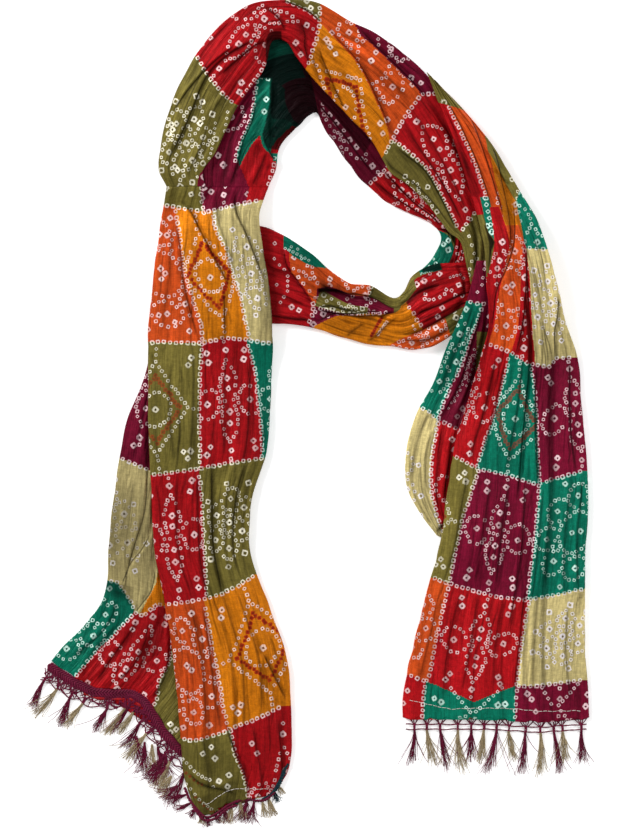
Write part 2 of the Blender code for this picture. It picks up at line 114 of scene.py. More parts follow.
RIGHT_FRONT_EDGES = table(Section, [
    (99, 289, 111, 277), (108, 268, 126, 261), (119, 241, 145, 239), (128, 215, 161, 216),
    (136, 190, 176, 190), (143, 164, 190, 167), (148, 141, 200, 140), (150, 109, 209, 108),
    (152, 75, 217, 75), (145, 45, 227, 44), (135, 11, 230, 11), (125, -23, 233, -24), (118, -65, 236, -67),
    (112, -108, 234, -108), (101, -150, 233, -150), (90, -193, 233, -193), (81, -235, 236, -238),
    (80, -259, 237, -259),
])
LEFT_UNDER_EDGES = table(Section, [
    (-134, 58, -80, 54), (-140, 30, -72, 28), (-153, -2, -68, -6), (-160, -33, -68, -35),
    (-166, -74, -69, -78), (-170, -112, -71, -125), (-173, -153, -68, -182), (-188, -177, -62, -227),
    (-205, -194, -69, -267), (-219, -211, -89, -296),
])
LEFT_FRONT_EDGES = table(Section, [
    (-121, 192, -35, 192), (-123.5, 175, -43, 170), (-128, 143, -40, 139), (-134, 96, -34, 96),
    (-136, 54, -32, 58), (-136, 11, -34, 16), (-135, -31, -37, -31), (-133, -74, -50, -74),
    (-130, -120, -51, -118), (-121, -163, -36, -161), (-115, -205, -21, -204), (-111, -244, -17, -239),
    (-108, -282, -16, -282), (-105, -310, -20, -306), (-97, -334, -34, -324),
])

# ---- the print: rows B, A, C repeat along the cloth and columns 1 to 4 across it ----
ROWS = "BAC"
RED, MAROON = (0.36, 0.0055, 0.0085), (0.15, 0.004, 0.021)
GREEN, OLIVE = (0.002, 0.135, 0.082), (0.152, 0.124, 0.026)
ORANGE, YELLOW = (0.54, 0.068, 0.010), (0.60, 0.175, 0.005)
BEIGE = (0.53, 0.435, 0.185)
CELL_COLOURS = [
    OLIVE, RED, GREEN, MAROON,
    ORANGE, YELLOW, BEIGE, RED,
    RED, OLIVE, MAROON, GREEN,
]


def edge(*points):
    """A line in a chart, as points of (across, along)."""
    return np.array(points, float)


RING, BEAD, KNOT = 0, 1, 2  # kinds of dot: pale with a dyed middle, a bead of a drawn line, a big knot
ON_ITS_CORNER = math.pi / 4
CORNERS = [(-1, -1), (-1, 1), (1, -1), (1, 1)]


def small(x, y):
    return Dot(x, y, SMALL_DOT, RING, None)


def big(x, y):
    return Dot(x, y, BIG_DOT, KNOT, ON_ITS_CORNER)


def ring(x, y, radius_x, radius_y, count, size=SMALL_DOT, start=0.0):
    """Dots all round a point, the first in the direction of start."""
    turns = [start + 2 * math.pi * i / count for i in range(count)]
    return [Dot(x + radius_x * math.cos(a), y + radius_y * math.sin(a), size, RING, None) for a in turns]


def rhomb(half_x, half_y, size, kind, pitch):
    """Dots along the four sides of a lozenge, from corner to corner."""
    count = max(2, round(math.hypot(half_x, half_y) / pitch))
    dots = []
    for quarter, (sign_x, sign_y) in enumerate([(1, 1), (-1, 1), (-1, -1), (1, -1)]):
        for i in range(count):
            share = i / count if quarter % 2 == 0 else 1 - i / count
            dots.append(Dot(sign_x * half_x * (1 - share), sign_y * half_y * share, size, kind, None))
    return dots


def cluster(x, y, spread, turns):
    """Big knots about a point, one for each direction in turns."""
    return [big(x + spread * math.cos(a), y + spread * math.sin(a)) for a in turns]


def round_of_loops(count, start, reach_x, reach_y, radius, dots_each):
    """Loops all round the middle, with a knot in each."""
    dots = []
    for turn in range(count):
        angle = 2 * math.pi / count * turn + start
        x, y = reach_x * math.cos(angle), reach_y * math.sin(angle)
        dots += [*ring(x, y, radius, radius, dots_each, start=angle), big(x, y)]
    return dots


def flower():
    """Two loops to the sides and two pointed petals up and down, with knots in them."""
    dots = [small(x, 0) for x in (-9.4, -4.7, 0, 4.7, 9.4)]
    for sign_x, sign_y in CORNERS:
        dots += [big(sign_x * 27, sign_y * 45), big(sign_x * 24, sign_y * 37)]
    for side in (-1, 1):
        dots += [*ring(25 * side, 0, 13.5, 13, 17), big(25 * side, 0), small(42 * side, 0)]
        for i in range(9):
            y, half = side * (5 + 31 * i / 8), 9.8 * math.sin(math.pi * (0.24 + 0.76 * i / 8))
            dots += [small(half, y), small(-half, y)]
        dots += [*(big(0, side * y) for y in (10, 20, 44)), small(0, side * 51)]
    return dots


def lozenge():
    """A lozenge of dots, a lozenge of a drawn line in it, and a ring in that, round a knot."""
    dots = rhomb(32, 40, SMALL_DOT, RING, 4.9) + rhomb(24.5, 29, LINE_DOT, BEAD, 3.9)
    dots += [*ring(0, 0, 15.5, 14.5, 19), big(0, 0)]
    for side in (-1, 1):
        dots += [small(37.5 * side, 0), small(0, 45.5 * side), small(0, 51 * side)]
    for sign_x, sign_y in CORNERS:
        dots += cluster(sign_x * 31, sign_y * 41, 4.2, [0.5, 2.6, 4.7])
    return dots


def rosette():
    """Six loops about a knot, with knots round them."""
    dots = [big(0, 0), *ring(0, 0, 8, 8, 10), *ring(0, 0, 33, 38, 9, BIG_DOT, 0.35)]
    return dots + round_of_loops(6, 0.5, 19, 22, 9.5, 12)


def wheel():
    """Eight loops round a ring, with four knots in the middle and one near each corner."""
    dots = cluster(0, 0, 4.2, [0.0, math.pi / 2, math.pi, -math.pi / 2]) + ring(0, 0, 18.5, 19, 23)
    return dots + round_of_loops(8, 0.0, 31, 34, 11, 14) + [big(x, y) for x in (-14, 14) for y in (-48, 48)]


MOTIFS = {
    "A1": wheel(), "C1": flower(), "B1": lozenge(),
    "A2": lozenge(), "C2": rosette(), "B2": flower(),
    "A3": rosette(), "C3": flower(), "B3": wheel(),
    "A4": flower(), "C4": lozenge(), "B4": flower(),
}

# ---- the charts: where each cell shows on each stretch ----
UP, DOWN = (0.0, 1.0), (1.0, 0.0)
PLAIN = (12, 13)  # the same dye again, past the cell's own dots


def cells(names, start, end, lines, across, along):
    """Neighbours in one row of cells, such as C1, C4 and C3 for "C143", each between two of the lines."""
    return [(names[0] + column, start, end, left, right, across, along)
            for column, left, right in zip(names[1:], lines, lines[1:])]


LF_TOP_OLIVE = edge((.32, -.01), (.36, .015), (.44, .05))
LF_TOP_MAROON = edge((.80, -.01), (.86, .035))
LF_A = edge((0, .035), (.45, .043), (.7, .03), (.97, .02))
LF_B = edge((0, .248), (.45, .253), (.62, .245), (.8, .25), (1, .258))
LF_C = edge((0, .467), (.4, .457), (.7, .447), (1, .438))
LF_A2 = edge((0, .675), (.4, .668), (.6, .66), (.75, .65), (1, .63))
LF_B2 = edge((0, .895), (.4, .885), (.65, .87), (.92, .85))
LF_ORANGE = edge((.12, .04), (.2, .085), (.27, .14), (.35, .18), (.42, .22), (.44, .25))
LF_YELLOW = edge((.52, .045), (.58, .08), (.65, .10), (.70, .14), (.76, .18), (.82, .255))
LF_OLIVE = edge((.43, .25), (.42, .30), (.42, .40), (.45, .46))
LF_RED = edge((.80, .255), (.87, .30), (.91, .35), (.98, .44))
LF_RED2 = edge((.45, .465), (.50, .50), (.52, .54), (.53, .58), (.51, .61), (.42, .665))
LF_ORANGE2 = edge((.38, .68), (.36, .75), (.40, .85), (.44, .885))
LF_OLIVE2 = edge((.45, .88), (.48, .92), (.55, .95), (.7, 1.0))
LEFT_FRONT_CHART = table(Field, [
    ("C2", 0.0, LF_A, -.25, LF_TOP_OLIVE, UP, (.17, 0)),
    ("C3", 0.0, LF_A, LF_TOP_OLIVE, LF_TOP_MAROON, UP, (.17, 0)),
    ("C1", 0.0, LF_A, LF_TOP_MAROON, 1.6, (.5, .8), (.17, 0)),
    ("A1", LF_A, LF_B, -.385, LF_ORANGE, (0, .75), DOWN),
    ("A2", LF_A, LF_B, LF_ORANGE, LF_YELLOW, UP, DOWN),
    ("A3", LF_A, LF_B, LF_YELLOW, 1.05, (.3, .7), DOWN),
    *cells("B12", LF_B, LF_C, (-.31, LF_OLIVE, LF_RED), UP, DOWN),
    ("B3", LF_B, LF_C, LF_RED, 1.05, (0, .2), DOWN),
    *cells("C12", LF_C, LF_A2, (-.13, LF_RED2, 1.08), UP, DOWN),
    *cells("A12", LF_A2, LF_B2, (-.14, LF_ORANGE2, 1.28), UP, DOWN),
    ("B1", LF_B2, 1.04, -.4, LF_OLIVE2, PLAIN, PLAIN),
    ("B2", LF_B2, 1.04, LF_OLIVE2, 1.4, UP, (1, .42)),
])
LEFT_FRONT_BORDERS = [
    LF_A, LF_B, LF_C, LF_A2, LF_B2, LF_ORANGE, LF_YELLOW, LF_OLIVE, LF_RED, LF_RED2, LF_ORANGE2, LF_OLIVE2,
    LF_TOP_OLIVE,
]

ARCH_B = edge((0, .222), (.35, .205), (.7, .19), (.95, .182))
ARCH_A = edge((0, .43), (.3, .44), (.45, .445), (.95, .458))
ARCH_C = edge((.04, .675), (.2, .655), (.5, .66), (.75, .67), (.97, .68))
ARCH_B2 = edge((.2, .875), (.35, .875), (.45, .885), (.65, .885), (.8, .895))
ARCH_FOLD = edge((.27, .44), (.37, .485), (.44, .52), (.52, .555), (.6, .585), (.7, .622), (.82, .668))
ARCH_RED = edge((.8, .672), (.74, .69), (.70, .72), (.68, .75), (.70, .79), (.77, .86), (.8, .885))
ARCH_MAROON = edge((.02, .49), (.12, .508), (.17, .55), (.19, .60), (.205, .665))
ARCH_SLIVER = edge((0, .38), (.12, .395), (.24, .435))
ARCH_CHART = table(Field, [
    ("C2", 0.0, ARCH_B, -.25, 1.12, UP, (.17, 1)),
    ("C3", -.01, edge((.78, 0), (1.05, .04)), .78, 1.2, (.1, .3), (.1, .2)),
    ("B2", ARCH_B, ARCH_A, -.35, 1.2, UP, UP),
    ("B1", ARCH_SLIVER, ARCH_A, -1.2, .26, UP, (.7, 1)),
    ("A1", ARCH_A, ARCH_C, -.75, ARCH_FOLD, (0, .4), UP),
    ("A2", ARCH_A, ARCH_C, ARCH_FOLD, 1.35, UP, UP),
    ("C3", .49, ARCH_C, -1.1, ARCH_MAROON, UP, (.2, .9)),
    ("C1", ARCH_C, ARCH_B2, -.7, ARCH_RED, (0, .5), UP),
    ("C2", ARCH_C, ARCH_B2, ARCH_RED, 1.9, UP, UP),
    ("B1", ARCH_B2, 1.04, -.6, 2.0, UP, (0, .4)),
])
ARCH_BORDERS = [ARCH_B, ARCH_A, ARCH_C, ARCH_B2, ARCH_RED, ARCH_SLIVER, edge((.99, .20), (.99, .30))]

INNER_DOTTED = edge(
    (.80, .0), (.67, .045), (.64, .063), (.645, .08), (.655, .10), (.64, .15), (.58, .20), (.50, .235),
    (.45, .25))
INNER_FOLD = edge((.66, .035), (.74, .08), (.79, .12), (.86, .09), (.94, .07), (1.0, .05))
INNER_RED = edge((.7, .625), (.85, .62), (1, .61))
INNER_LOW_RED = edge((.5, .925), (.65, .935), (.8, .955), (1, .985))
INNER_CHART = table(Field, [
    ("C3", 0.0, .35, -.1, INNER_DOTTED, UP, (.2, 1)),
    ("B3", 0.0, .35, INNER_DOTTED, 1.3, PLAIN, PLAIN),
    ("A4", 0.0, INNER_FOLD, edge((.80, 0), (.67, .045)), 1.3, PLAIN, PLAIN),
    ("A4", .075, .18, edge((.94, .075), (.955, .12), (.97, .18)), 1.3, PLAIN, PLAIN),
    ("B3", .27, .40, -.2, .62, (.0, .1), (.0, .1)),
    ("B4", .34, INNER_RED, .45, 1.25, UP, UP),
    ("B4", edge((.70, .27), (.80, .235), (.95, .20), (1.2, .19)), .37, .66, 1.25, UP, (.0, .2)),
    ("C1", INNER_RED, .845, .4, 1.2, UP, UP),
    ("C1", edge((.09, .915), (.35, .866), (.49, .852), (.64, .84)), 1.04, -.2, .64, UP, (.3, .8)),
    ("B3", edge((.5, .89), (.6, .885), (.72, .87), (.8, .855), (1, .84)), INNER_LOW_RED, .63, 1.3, PLAIN,
     PLAIN),
    ("C1", INNER_LOW_RED, 1.04, -.2, 1.3, UP, (.5, .8)),
])
INNER_BORDERS = [
    edge((.625, .05), (.655, .10), (.64, .15), (.58, .20), (.50, .235), (.47, .245)),
    edge((.47, .25), (.56, .262)), INNER_RED, edge((.99, .0), (.985, .07)),
]

LL_RED = edge((.64, .375), (.7, .385), (.85, .38), (.97, .37))
LL_ORANGE = edge((0, .30), (.18, .285), (.38, .295), (.48, .34), (.62, .375), (.66, .38))
LL_OLIVE_TOP = edge((-.05, .605), (.1, .595), (.28, .585))
LL_HOLLOW = edge((.18, .50), (.26, .44), (.42, .395), (.5, .395))
LL_RIM = edge((.70, .40), (.62, .48), (.55, .53), (.48, .60), (.42, .635), (.32, .66))
LL_TWIST = edge((.2, .71), (.25, .70), (.45, .63), (.5, .58), (.6, .51), (.7, .47), (.85, .43), (1, .39))
LL_YELLOW = edge((.2, .735), (.35, .745), (.5, .76), (.65, .77), (1, .79))
LL_GREEN = edge((.13, .27), (.17, .30), (.175, .34), (.13, .38), (.05, .41), (-.02, .43))
LOWER_CHART = table(Field, [
    ("C1", 0.0, .44, -.3, 1.1, PLAIN, PLAIN),
    ("A1", LL_ORANGE, .60, -.3, .66, UP, (.2, .8)),
    ("B3", .265, .43, -1.0, LL_GREEN, PLAIN, PLAIN),
    ("C2", LL_OLIVE_TOP, .70, -1.0, .28, UP, (.0, .1)),
    ("C3", LL_HOLLOW, .68, .19, .70, (.2, .6), (.2, .8)),
    ("C2", edge((.38, .42), (.45, .405), (.66, .39)), .585, .38,
     edge((.69, .39), (.62, .475), (.55, .525), (.50, .585)), (.0, .5), (.2, .8)),
    ("C3", edge((.42, .64), (.48, .60), (.55, .53), (.62, .48), (.69, .40), (.72, .388), (1, .372)), LL_TWIST,
     .42, 1.1, UP, (.8, 1)),
    ("A2", LL_TWIST, LL_YELLOW, .0, 1.15, PLAIN, PLAIN),
    ("C2", .685, .80, -.9, .18, UP, (.0, .1)),
    ("C1", LL_YELLOW, 1.04, .18, 1.1, PLAIN, PLAIN),
    ("A1", edge((.74, .74), (.80, .71), (1, .67)), .86, .74, 1.6, UP, (.2, .6)),
    ("B1", .86, .93, .74, 1.6, UP, (.0, .3)),
    ("B3", .82, .90, -.9, edge((.05, .82), (.09, .88), (.10, .96)), UP, (.3, .8)),
    ("C1", .79, .96, edge((.05, .79), (.09, .88), (.10, .96)), .20, UP, (.3, .8)),
    ("C1", .90, 1.04, -.9, .20, (.0, .1), (.0, .1)),
])
LOWER_BORDERS = [
    LL_RED, LL_RIM, edge((.24, .74), (.35, .745), (.5, .76), (.65, .77), (.73, .776)), LL_OLIVE_TOP,
]

RF_C = edge((.02, .43), (.3, .445), (.47, .46), (.7, .465), (.78, .452), (.95, .45))
RF_B = edge((0, .602), (.18, .62), (.42, .63), (.62, .642), (.8, .632), (.97, .622))
RF_A = edge((0, .785), (.2, .80), (.45, .815), (.62, .818), (.85, .81), (1, .802))
RF_C2 = edge((0, .935), (.18, .952), (.38, .975), (.6, .948), (.98, .94))
RF_STRIP = edge((.42, .25), (.4, .28), (.25, .32), (.1, .37), (.03, .42))
RF_ORANGE = edge((.66, .27), (.52, .31), (.42, .37), (.30, .44))
RF_BEIGE = edge((.66, .28), (.62, .33), (.56, .38), (.54, .42), (.56, .465))
RF_GREEN_TOP = edge((.62, .29), (.66, .27), (.72, .235), (.8, .213), (1, .193))
RF_BROWN_TOP = edge((.40, .25), (.5, .225), (.6, .195), (.7, .16), (.8, .125), (1, .10))
RF_RED_GREEN = edge((.28, .45), (.27, .5), (.25, .55), (.18, .62))
RF_GREEN_MAROON = edge((.52, .465), (.58, .5), (.62, .54), (.65, .64))
RF_OLIVE_MAROON = edge((.2, .62), (.12, .7), (.11, .75), (.12, .79))
RF_MAROON_GREEN = edge((.65, .64), (.64, .82))
RF_ORANGE_RED = edge((.12, .79), (.12, .94))
RF_RED_BEIGE = edge((.65, .82), (.61, .95))
RF_TOP_DOTTED = edge((.30, .05), (.28, .10), (.29, .15), (.25, .21))
RIGHT_FRONT_CHART = table(Field, [
    ("C2", 0.0, .05, -1.5, 1.5, DOWN, (0, .1)),
    ("A1", .05, RF_C, RF_TOP_DOTTED, 1.9, DOWN, UP),
    ("A4", .05, .23, -3.5, RF_TOP_DOTTED, (1, 0), UP),
    ("C2", RF_BROWN_TOP, RF_GREEN_TOP, .42, 2.2, DOWN, (0, .12)),
    ("A2", edge((.42, .238), (.5, .215), (.6, .175), (.8, .13)), RF_GREEN_TOP, .42, .80, PLAIN, PLAIN),
    ("B3", RF_GREEN_TOP, .286, .64, 1.5, DOWN, (.5, 1)),
    ("C2", .23, .34, -3.5, .24, (.1, .0), (.0, .1)),
    ("C4", .204, .276, edge((.13, .207), (.09, .24), (.10, .26), (.17, .275)),
     edge((.31, .204), (.25, .237), (.19, .268), (.17, .276)), (.2, .0), (.0, .1)),
    ("A4", .22, .44, edge((.25, .22), (.15, .28), (0, .33), (-3.5, .34)), RF_STRIP, DOWN, UP),
    ("A1", .25, RF_C, RF_STRIP, RF_ORANGE, DOWN, UP),
    ("A4", .27, RF_C, RF_ORANGE, RF_BEIGE, DOWN, UP),
    ("A3", .285, RF_C, RF_BEIGE, 1.12, DOWN, UP),
    *cells("C143", RF_C, RF_B, (-.35, RF_RED_GREEN, RF_GREEN_MAROON, 1.30), DOWN, UP),
    *cells("B143", RF_B, RF_A, (-.5, RF_OLIVE_MAROON, RF_MAROON_GREEN, 1.22), DOWN, UP),
    *cells("A143", RF_A, RF_C2, (-.4, RF_ORANGE_RED, RF_RED_BEIGE, 1.12), DOWN, UP),
    *cells("C143", RF_C2, 1.04, (-.4, .11, .60, 1.1), DOWN, (0, .4)),
])
RIGHT_FRONT_BORDERS = [
    RF_C, RF_B, RF_A, edge((0, .935), (.11, .945)), edge((.60, .948), (.98, .94)), RF_RED_GREEN,
    RF_GREEN_MAROON, RF_OLIVE_MAROON, RF_MAROON_GREEN, RF_ORANGE_RED, RF_RED_BEIGE, RF_TOP_DOTTED,
    edge((.66, .285), (1, .285)), edge((.11, .94), (.10, 1.0)), edge((.61, .95), (.60, 1.0)),
]

RU_B = edge((0, .14), (.2, .148), (.33, .15), (.6, .155))
RU_A = edge((0, .54), (.1, .55), (.2, .57), (.26, .58), (.5, .60))
RU_GREEN = edge((.35, .16), (.27, .26), (.27, .31), (.25, .38), (.21, .45), (.24, .58))
RU_BEIGE = edge((.26, .58), (.27, .7), (.27, .86), (.25, .92), (.2, 1.0))
RIGHT_UNDER_CHART = table(Field, [
    ("C3", 0.0, RU_B, -.6, 1.4, PLAIN, PLAIN),
    *cells("B34", RU_B, RU_A, (-.6, RU_GREEN, 1.3), UP, UP),
    ("B1", .245, .385, edge((.34, .245), (.42, .33), (.46, .385)), 1.5, UP, (.2, .7)),
    *cells("A34", RU_A, 1.04, (-.7, RU_BEIGE, 1.3), UP, UP),
])
RIGHT_UNDER_BORDERS = [RU_B, RU_A, RU_GREEN, RU_BEIGE]

LU_A = edge((0, .30), (.2, .32), (.28, .33), (.5, .35))
LU_B = edge((0, .66), (.08, .66), (.12, .675), (.22, .715), (.25, .735), (.32, .74), (.4, .70), (.6, .70))
LU_BEIGE = edge(
    (.30, .33), (.33, .40), (.37, .46), (.42, .52), (.43, .58), (.40, .64), (.33, .69), (.29, .735))
LU_GREEN = edge((.24, .74), (.19, .80), (.16, .87), (.15, 1.0))
LU_RED = edge((.54, .75), (.555, .87), (.54, .92), (.59, .98), (.60, 1.0))
LEFT_UNDER_CHART = table(Field, [
    *cells("C32", 0.0, LU_A, (-.4, .7, 1.6), DOWN, (.7, 0)),
    *cells("A32", LU_A, LU_B, (-.45, LU_BEIGE, 1.2), DOWN, DOWN),
    *cells("B321", LU_B, 1.04, (-.4, LU_GREEN, LU_RED, 1.3), DOWN, DOWN),
])
LEFT_UNDER_BORDERS = [LU_A, LU_B, LU_GREEN, LU_RED]


def dotted(start, end, count, size, kind=RING):
    """A row of dots alone, from one (across, along) to another."""
    (x, y), (end_x, end_y) = start, end
    shares = (i / (count - 1) for i in range(count))
    return [(x + t * (end_x - x), y + t * (end_y - y), size, kind) for t in shares]


# ---- dots that show alone: big knots as (across, along), small dots with their size as well ----
LEFT_FRONT_KNOTS = [
    (.07, .083), (.29, .19), (.07, .207), (.26, .014), (.45, .008), (.205, .218), (.19, .913), (.27, .905),
    (.30, .924), (.33, .960), (.43, .955), (.42, .973), *dotted((-.04, .925), (.24, .953), 9, 1.6),
    *dotted((-.01, .965), (.21, .993), 7, 1.6), (.27, .965, 1.5),
    *dotted((-.06, .943), (.16, .957), 7, 1.5, BEAD), *dotted((.06, .978), (.24, .999), 6, 1.4, BEAD),
]
ARCH_KNOTS = [
    (.04, .56), (.15, .62), (.11, .64), (.46, .47), (.53, .492), (.56, .122), (.46, .16), (.09, .092),
    (.14, .10), (.10, .108), (.36, .037), *dotted((.04, .533), (.10, .54), 2, 1.5),
    *dotted((.04, .587), (.11, .583), 2, 1.5), *dotted((.80, .13), (.98, .06), 8, 1.3),
    *dotted((.72, .10), (.88, .02), 7, 1.2), *dotted((.92, .16), (1.0, .12), 4, 1.3),
]
INNER_KNOTS = [
    (.70, .187), (.65, .217), (.87, .155), (.91, .125), (.77, .890), (.83, .867), (.93, .882),
    (.88, .935, 1.8), (.77, .94, 1.3), (.98, .93, 1.3), *dotted((.80, .955), (.95, .95), 4, 1.2),
]
LOWER_KNOTS = [
    *dotted((.50, .636), (.86, .598), 9, 1.7, BEAD), *dotted((.54, .655), (.82, .622), 6, 1.5), (.68, .837),
    (.60, .860), (.38, .940), (.80, .30), (.82, .33), (.13, .237, 1.8), (.58, .243, 1.7), (.35, .253, 1.5),
    (.38, .270, 1.5), *dotted((.44, .283), (.62, .283), 4, 1.5), (.70, .270, 1.5), (.77, .257, 1.5),
    (.30, .235, 1.4), *dotted((.13, .272), (.10, .355), 7, 1.4), (.07, .293, 1.4), (.05, .315, 1.4),
    (.14, .33, 1.4), (.32, .817, 1.6), (.37, .810, 1.6), (.41, .823, 1.6), (.44, .840, 1.8), (.45, .863, 1.6),
    (.44, .883, 1.6), (.39, .893, 1.6), (.43, .910, 1.7), (.52, .917, 1.7), (.57, .940, 1.8),
    *dotted((.23, .92), (.21, .957), 4, 1.2), (.28, .963, 1.4), *dotted((.62, .745), (.95, .765), 6, 1.2),
]
RIGHT_FRONT_KNOTS = [
    (.76, .217), (.70, .23), *dotted((.22, .205), (.16, .258), 6, 2.0),
    *dotted((.25, .955), (.36, .990), 6, 1.7), *dotted((.39, .990), (.53, .952), 7, 1.7),
    *dotted((.75, .948), (.80, .973), 4, 1.7), *dotted((.84, .976), (.95, .945), 6, 1.7), (.67, .958),
]
RIGHT_UNDER_KNOTS = [
    (.58, .01), (.34, .06, 1.6), (.31, .085, 1.5), (.20, .11, 1.6), (.42, .03, 1.5),
    *dotted((.42, .30), (.40, .44), 8, 1.15), *dotted((.37, .31), (.34, .50), 10, 1.2),
    *dotted((.33, .36), (.31, .53), 9, 1.1),
]
LEFT_UNDER_KNOTS = [(.105, .265), (.15, .245)]

# ---- the creases and pleats placed one by one; a pleat is steep on one side ----
LEFT_FRONT_CREASES = table(Crease, [
    (((.12, .028), (.27, .045), (.36, .068), (.47, .10), (.56, .13), (.68, .172)), 2.4, 8.0, 1.3),
    (((.60, .165), (.60, .20), (.605, .25)), 1.5, 5.0, 1.4),
    (((.66, .0), (.74, .038), (.83, .07), (.90, .108), (.98, .16)), 2.0, 7.0, 1.2),
    (((.44, .26), (.36, .205), (.28, .15), (.23, .10), (.14, .045)), 1.4, 5.0, 1.6),
    (((.47, .0), (.56, .06), (.66, .11), (.72, .16)), 0.9, 4.0, 2.0),
    (((.07, .05), (.09, .15), (.06, .25)), 0.8, 4.0, 3.0),
    (((.62, .25), (.60, .33), (.625, .45)), 1.1, 4.5, 1.8),
    (((.80, .26), (.81, .36), (.79, .46)), 1.2, 5.0, 2.0),
    (((.32, .24), (.34, .33), (.31, .47)), 1.0, 5.0, 2.4),
    (((.14, .26), (.12, .36), (.16, .46)), 0.9, 6.0, 4.0),
    (((.50, .43), (.575, .50), (.595, .56), (.59, .62), (.54, .68)), 2.6, 9.0, 1.7),
    (((.82, .43), (.825, .52), (.80, .64)), 1.3, 4.5, 1.4),
    (((.71, .45), (.715, .55), (.70, .66)), 0.8, 3.5, 2.5),
    (((.22, .45), (.20, .56), (.24, .68)), 1.0, 5.0, 2.6),
    (((.40, .45), (.44, .56), (.39, .68)), 1.2, 5.0, 2.2),
    (((.20, .66), (.215, .78), (.19, .90)), 1.0, 4.0, 2.4),
    (((.33, .66), (.30, .80), (.35, .90)), 1.1, 5.0, 2.0),
    (((.78, .755), (.86, .80), (.96, .845)), 1.9, 6.0, 1.2),
    (((.55, .64), (.575, .78), (.54, .90)), 1.0, 4.0, 2.0),
    (((.70, .64), (.725, .78), (.70, .88)), 1.0, 4.5, 2.4),
    (((.47, .68), (.49, .80), (.46, .90)), 0.8, 3.0, 1.8),
    (((.38, .87), (.47, .92), (.56, .955), (.68, 1.0)), 2.0, 7.0, 1.4),
    (((.58, .99), (.30, .965), (.03, .94)), 1.6, 5.0, 1.5),
    (((.62, .87), (.71, .95), (.84, 1.0)), 1.1, 4.0, 1.6),
    (((.16, .87), (.20, .95), (.15, 1.0)), 0.9, 3.5, 2.0),
    (((.86, .86), (.90, .93), (.98, .99)), 1.3, 4.0, 1.5),
])
ARCH_CREASES = table(Crease, [
    (((.12, .03), (.22, .07), (.30, .11), (.32, .15), (.30, .18), (.30, .215), (.37, .253), (.47, .285),
     (.67, .333)), 2.2, 6.0, 1.3),
    (((.0, .12), (.10, .16), (.20, .20), (.30, .245), (.39, .28)), 1.8, 5.0, 1.3),
    (((.45, .21), (.53, .255), (.62, .30), (.74, .32), (.90, .34)), 1.6, 5.0, 1.6),
    (((.60, .0), (.66, .07), (.63, .14), (.70, .20)), 1.0, 4.0, 2.2),
    (((.82, .375), (.60, .37), (.40, .36), (.15, .345)), 2.2, 7.0, 1.5),
    (((.98, .46), (.80, .43), (.62, .42), (.42, .40)), 1.5, 5.0, 1.6),
    (((.31, .445), (.20, .405), (.03, .37)), 1.6, 5.0, 1.5),
    (((.84, .675), (.70, .622), (.60, .585), (.52, .555), (.44, .52), (.37, .485), (.27, .44)), 2.8, 9.0,
     1.4),
    (((.52, .45), (.66, .475), (.78, .505), (.88, .535), (1.0, .59)), 2.2, 7.0, 1.4),
    (((.62, .455), (.80, .468), (.97, .51)), 1.2, 4.0, 1.5),
    (((.21, .68), (.195, .62), (.175, .56), (.13, .52), (.0, .485)), 2.0, 5.0, 1.5),
    (((.205, .65), (.16, .73), (.12, .78), (.09, .88)), -2.2, 2.2, 3.0),
    (((.79, .67), (.70, .73), (.68, .77), (.72, .82), (.78, .90)), 2.0, 7.0, 1.8),
    (((.97, .66), (.92, .75), (.88, .83), (.84, .90)), 1.2, 4.0, 1.5),
    (((.34, .87), (.48, .92), (.60, .955), (.78, .98)), -2.0, 2.0, 2.4),
    (((.10, .87), (.22, .92), (.34, .97)), -1.8, 2.0, 2.2),
    (((.35, .66), (.38, .76), (.35, .88)), 1.1, 5.0, 2.4),
    (((.52, .66), (.56, .76), (.55, .89)), 1.3, 5.0, 2.0),
    (((.44, .46), (.32, .53), (.30, .66)), 0.9, 4.0, 2.4),
    (((.08, .50), (.09, .57), (.10, .65)), 0.8, 3.0, 2.0),
])
INNER_CREASES = table(Crease, [
    (((.50, .0), (.53, .10), (.50, .21)), 1.0, 4.0, 2.0),
    (((.58, -.01), (.635, .05), (.655, .10), (.63, .16), (.55, .215)), 1.5, 4.0, 1.4),
    (((.81, .13), (.73, .08), (.66, .02)), 1.8, 5.0, 1.4),
    (((1.0, .04), (.90, .08), (.80, .12)), 2.0, 5.0, 1.6),
    (((.95, .06), (.86, .12), (.78, .16), (.72, .20), (.64, .24), (.53, .27)), 2.6, 5.0, 2.0),
    (((.80, .0), (.84, .04), (.88, .08)), 1.2, 3.0, 2.0),
    (((.96, .06), (.94, .14), (.97, .22)), 1.2, 3.0, 2.0),
    (((.84, .34), (.83, .45), (.86, .63)), 1.6, 4.0, 2.6),
    (((.93, .38), (.92, .50), (.94, .60)), 1.0, 3.0, 2.0),
    (((.77, .60), (.78, .72), (.82, .85)), 1.6, 5.0, 1.8),
    (((.91, .60), (.88, .75), (.95, .83)), 1.4, 4.0, 1.8),
    (((.42, .90), (.60, .932), (.78, .957), (1.0, .99)), 2.0, 5.0, 1.5),
    (((.70, .85), (.84, .87), (.98, .90)), 1.0, 3.0, 2.0),
])
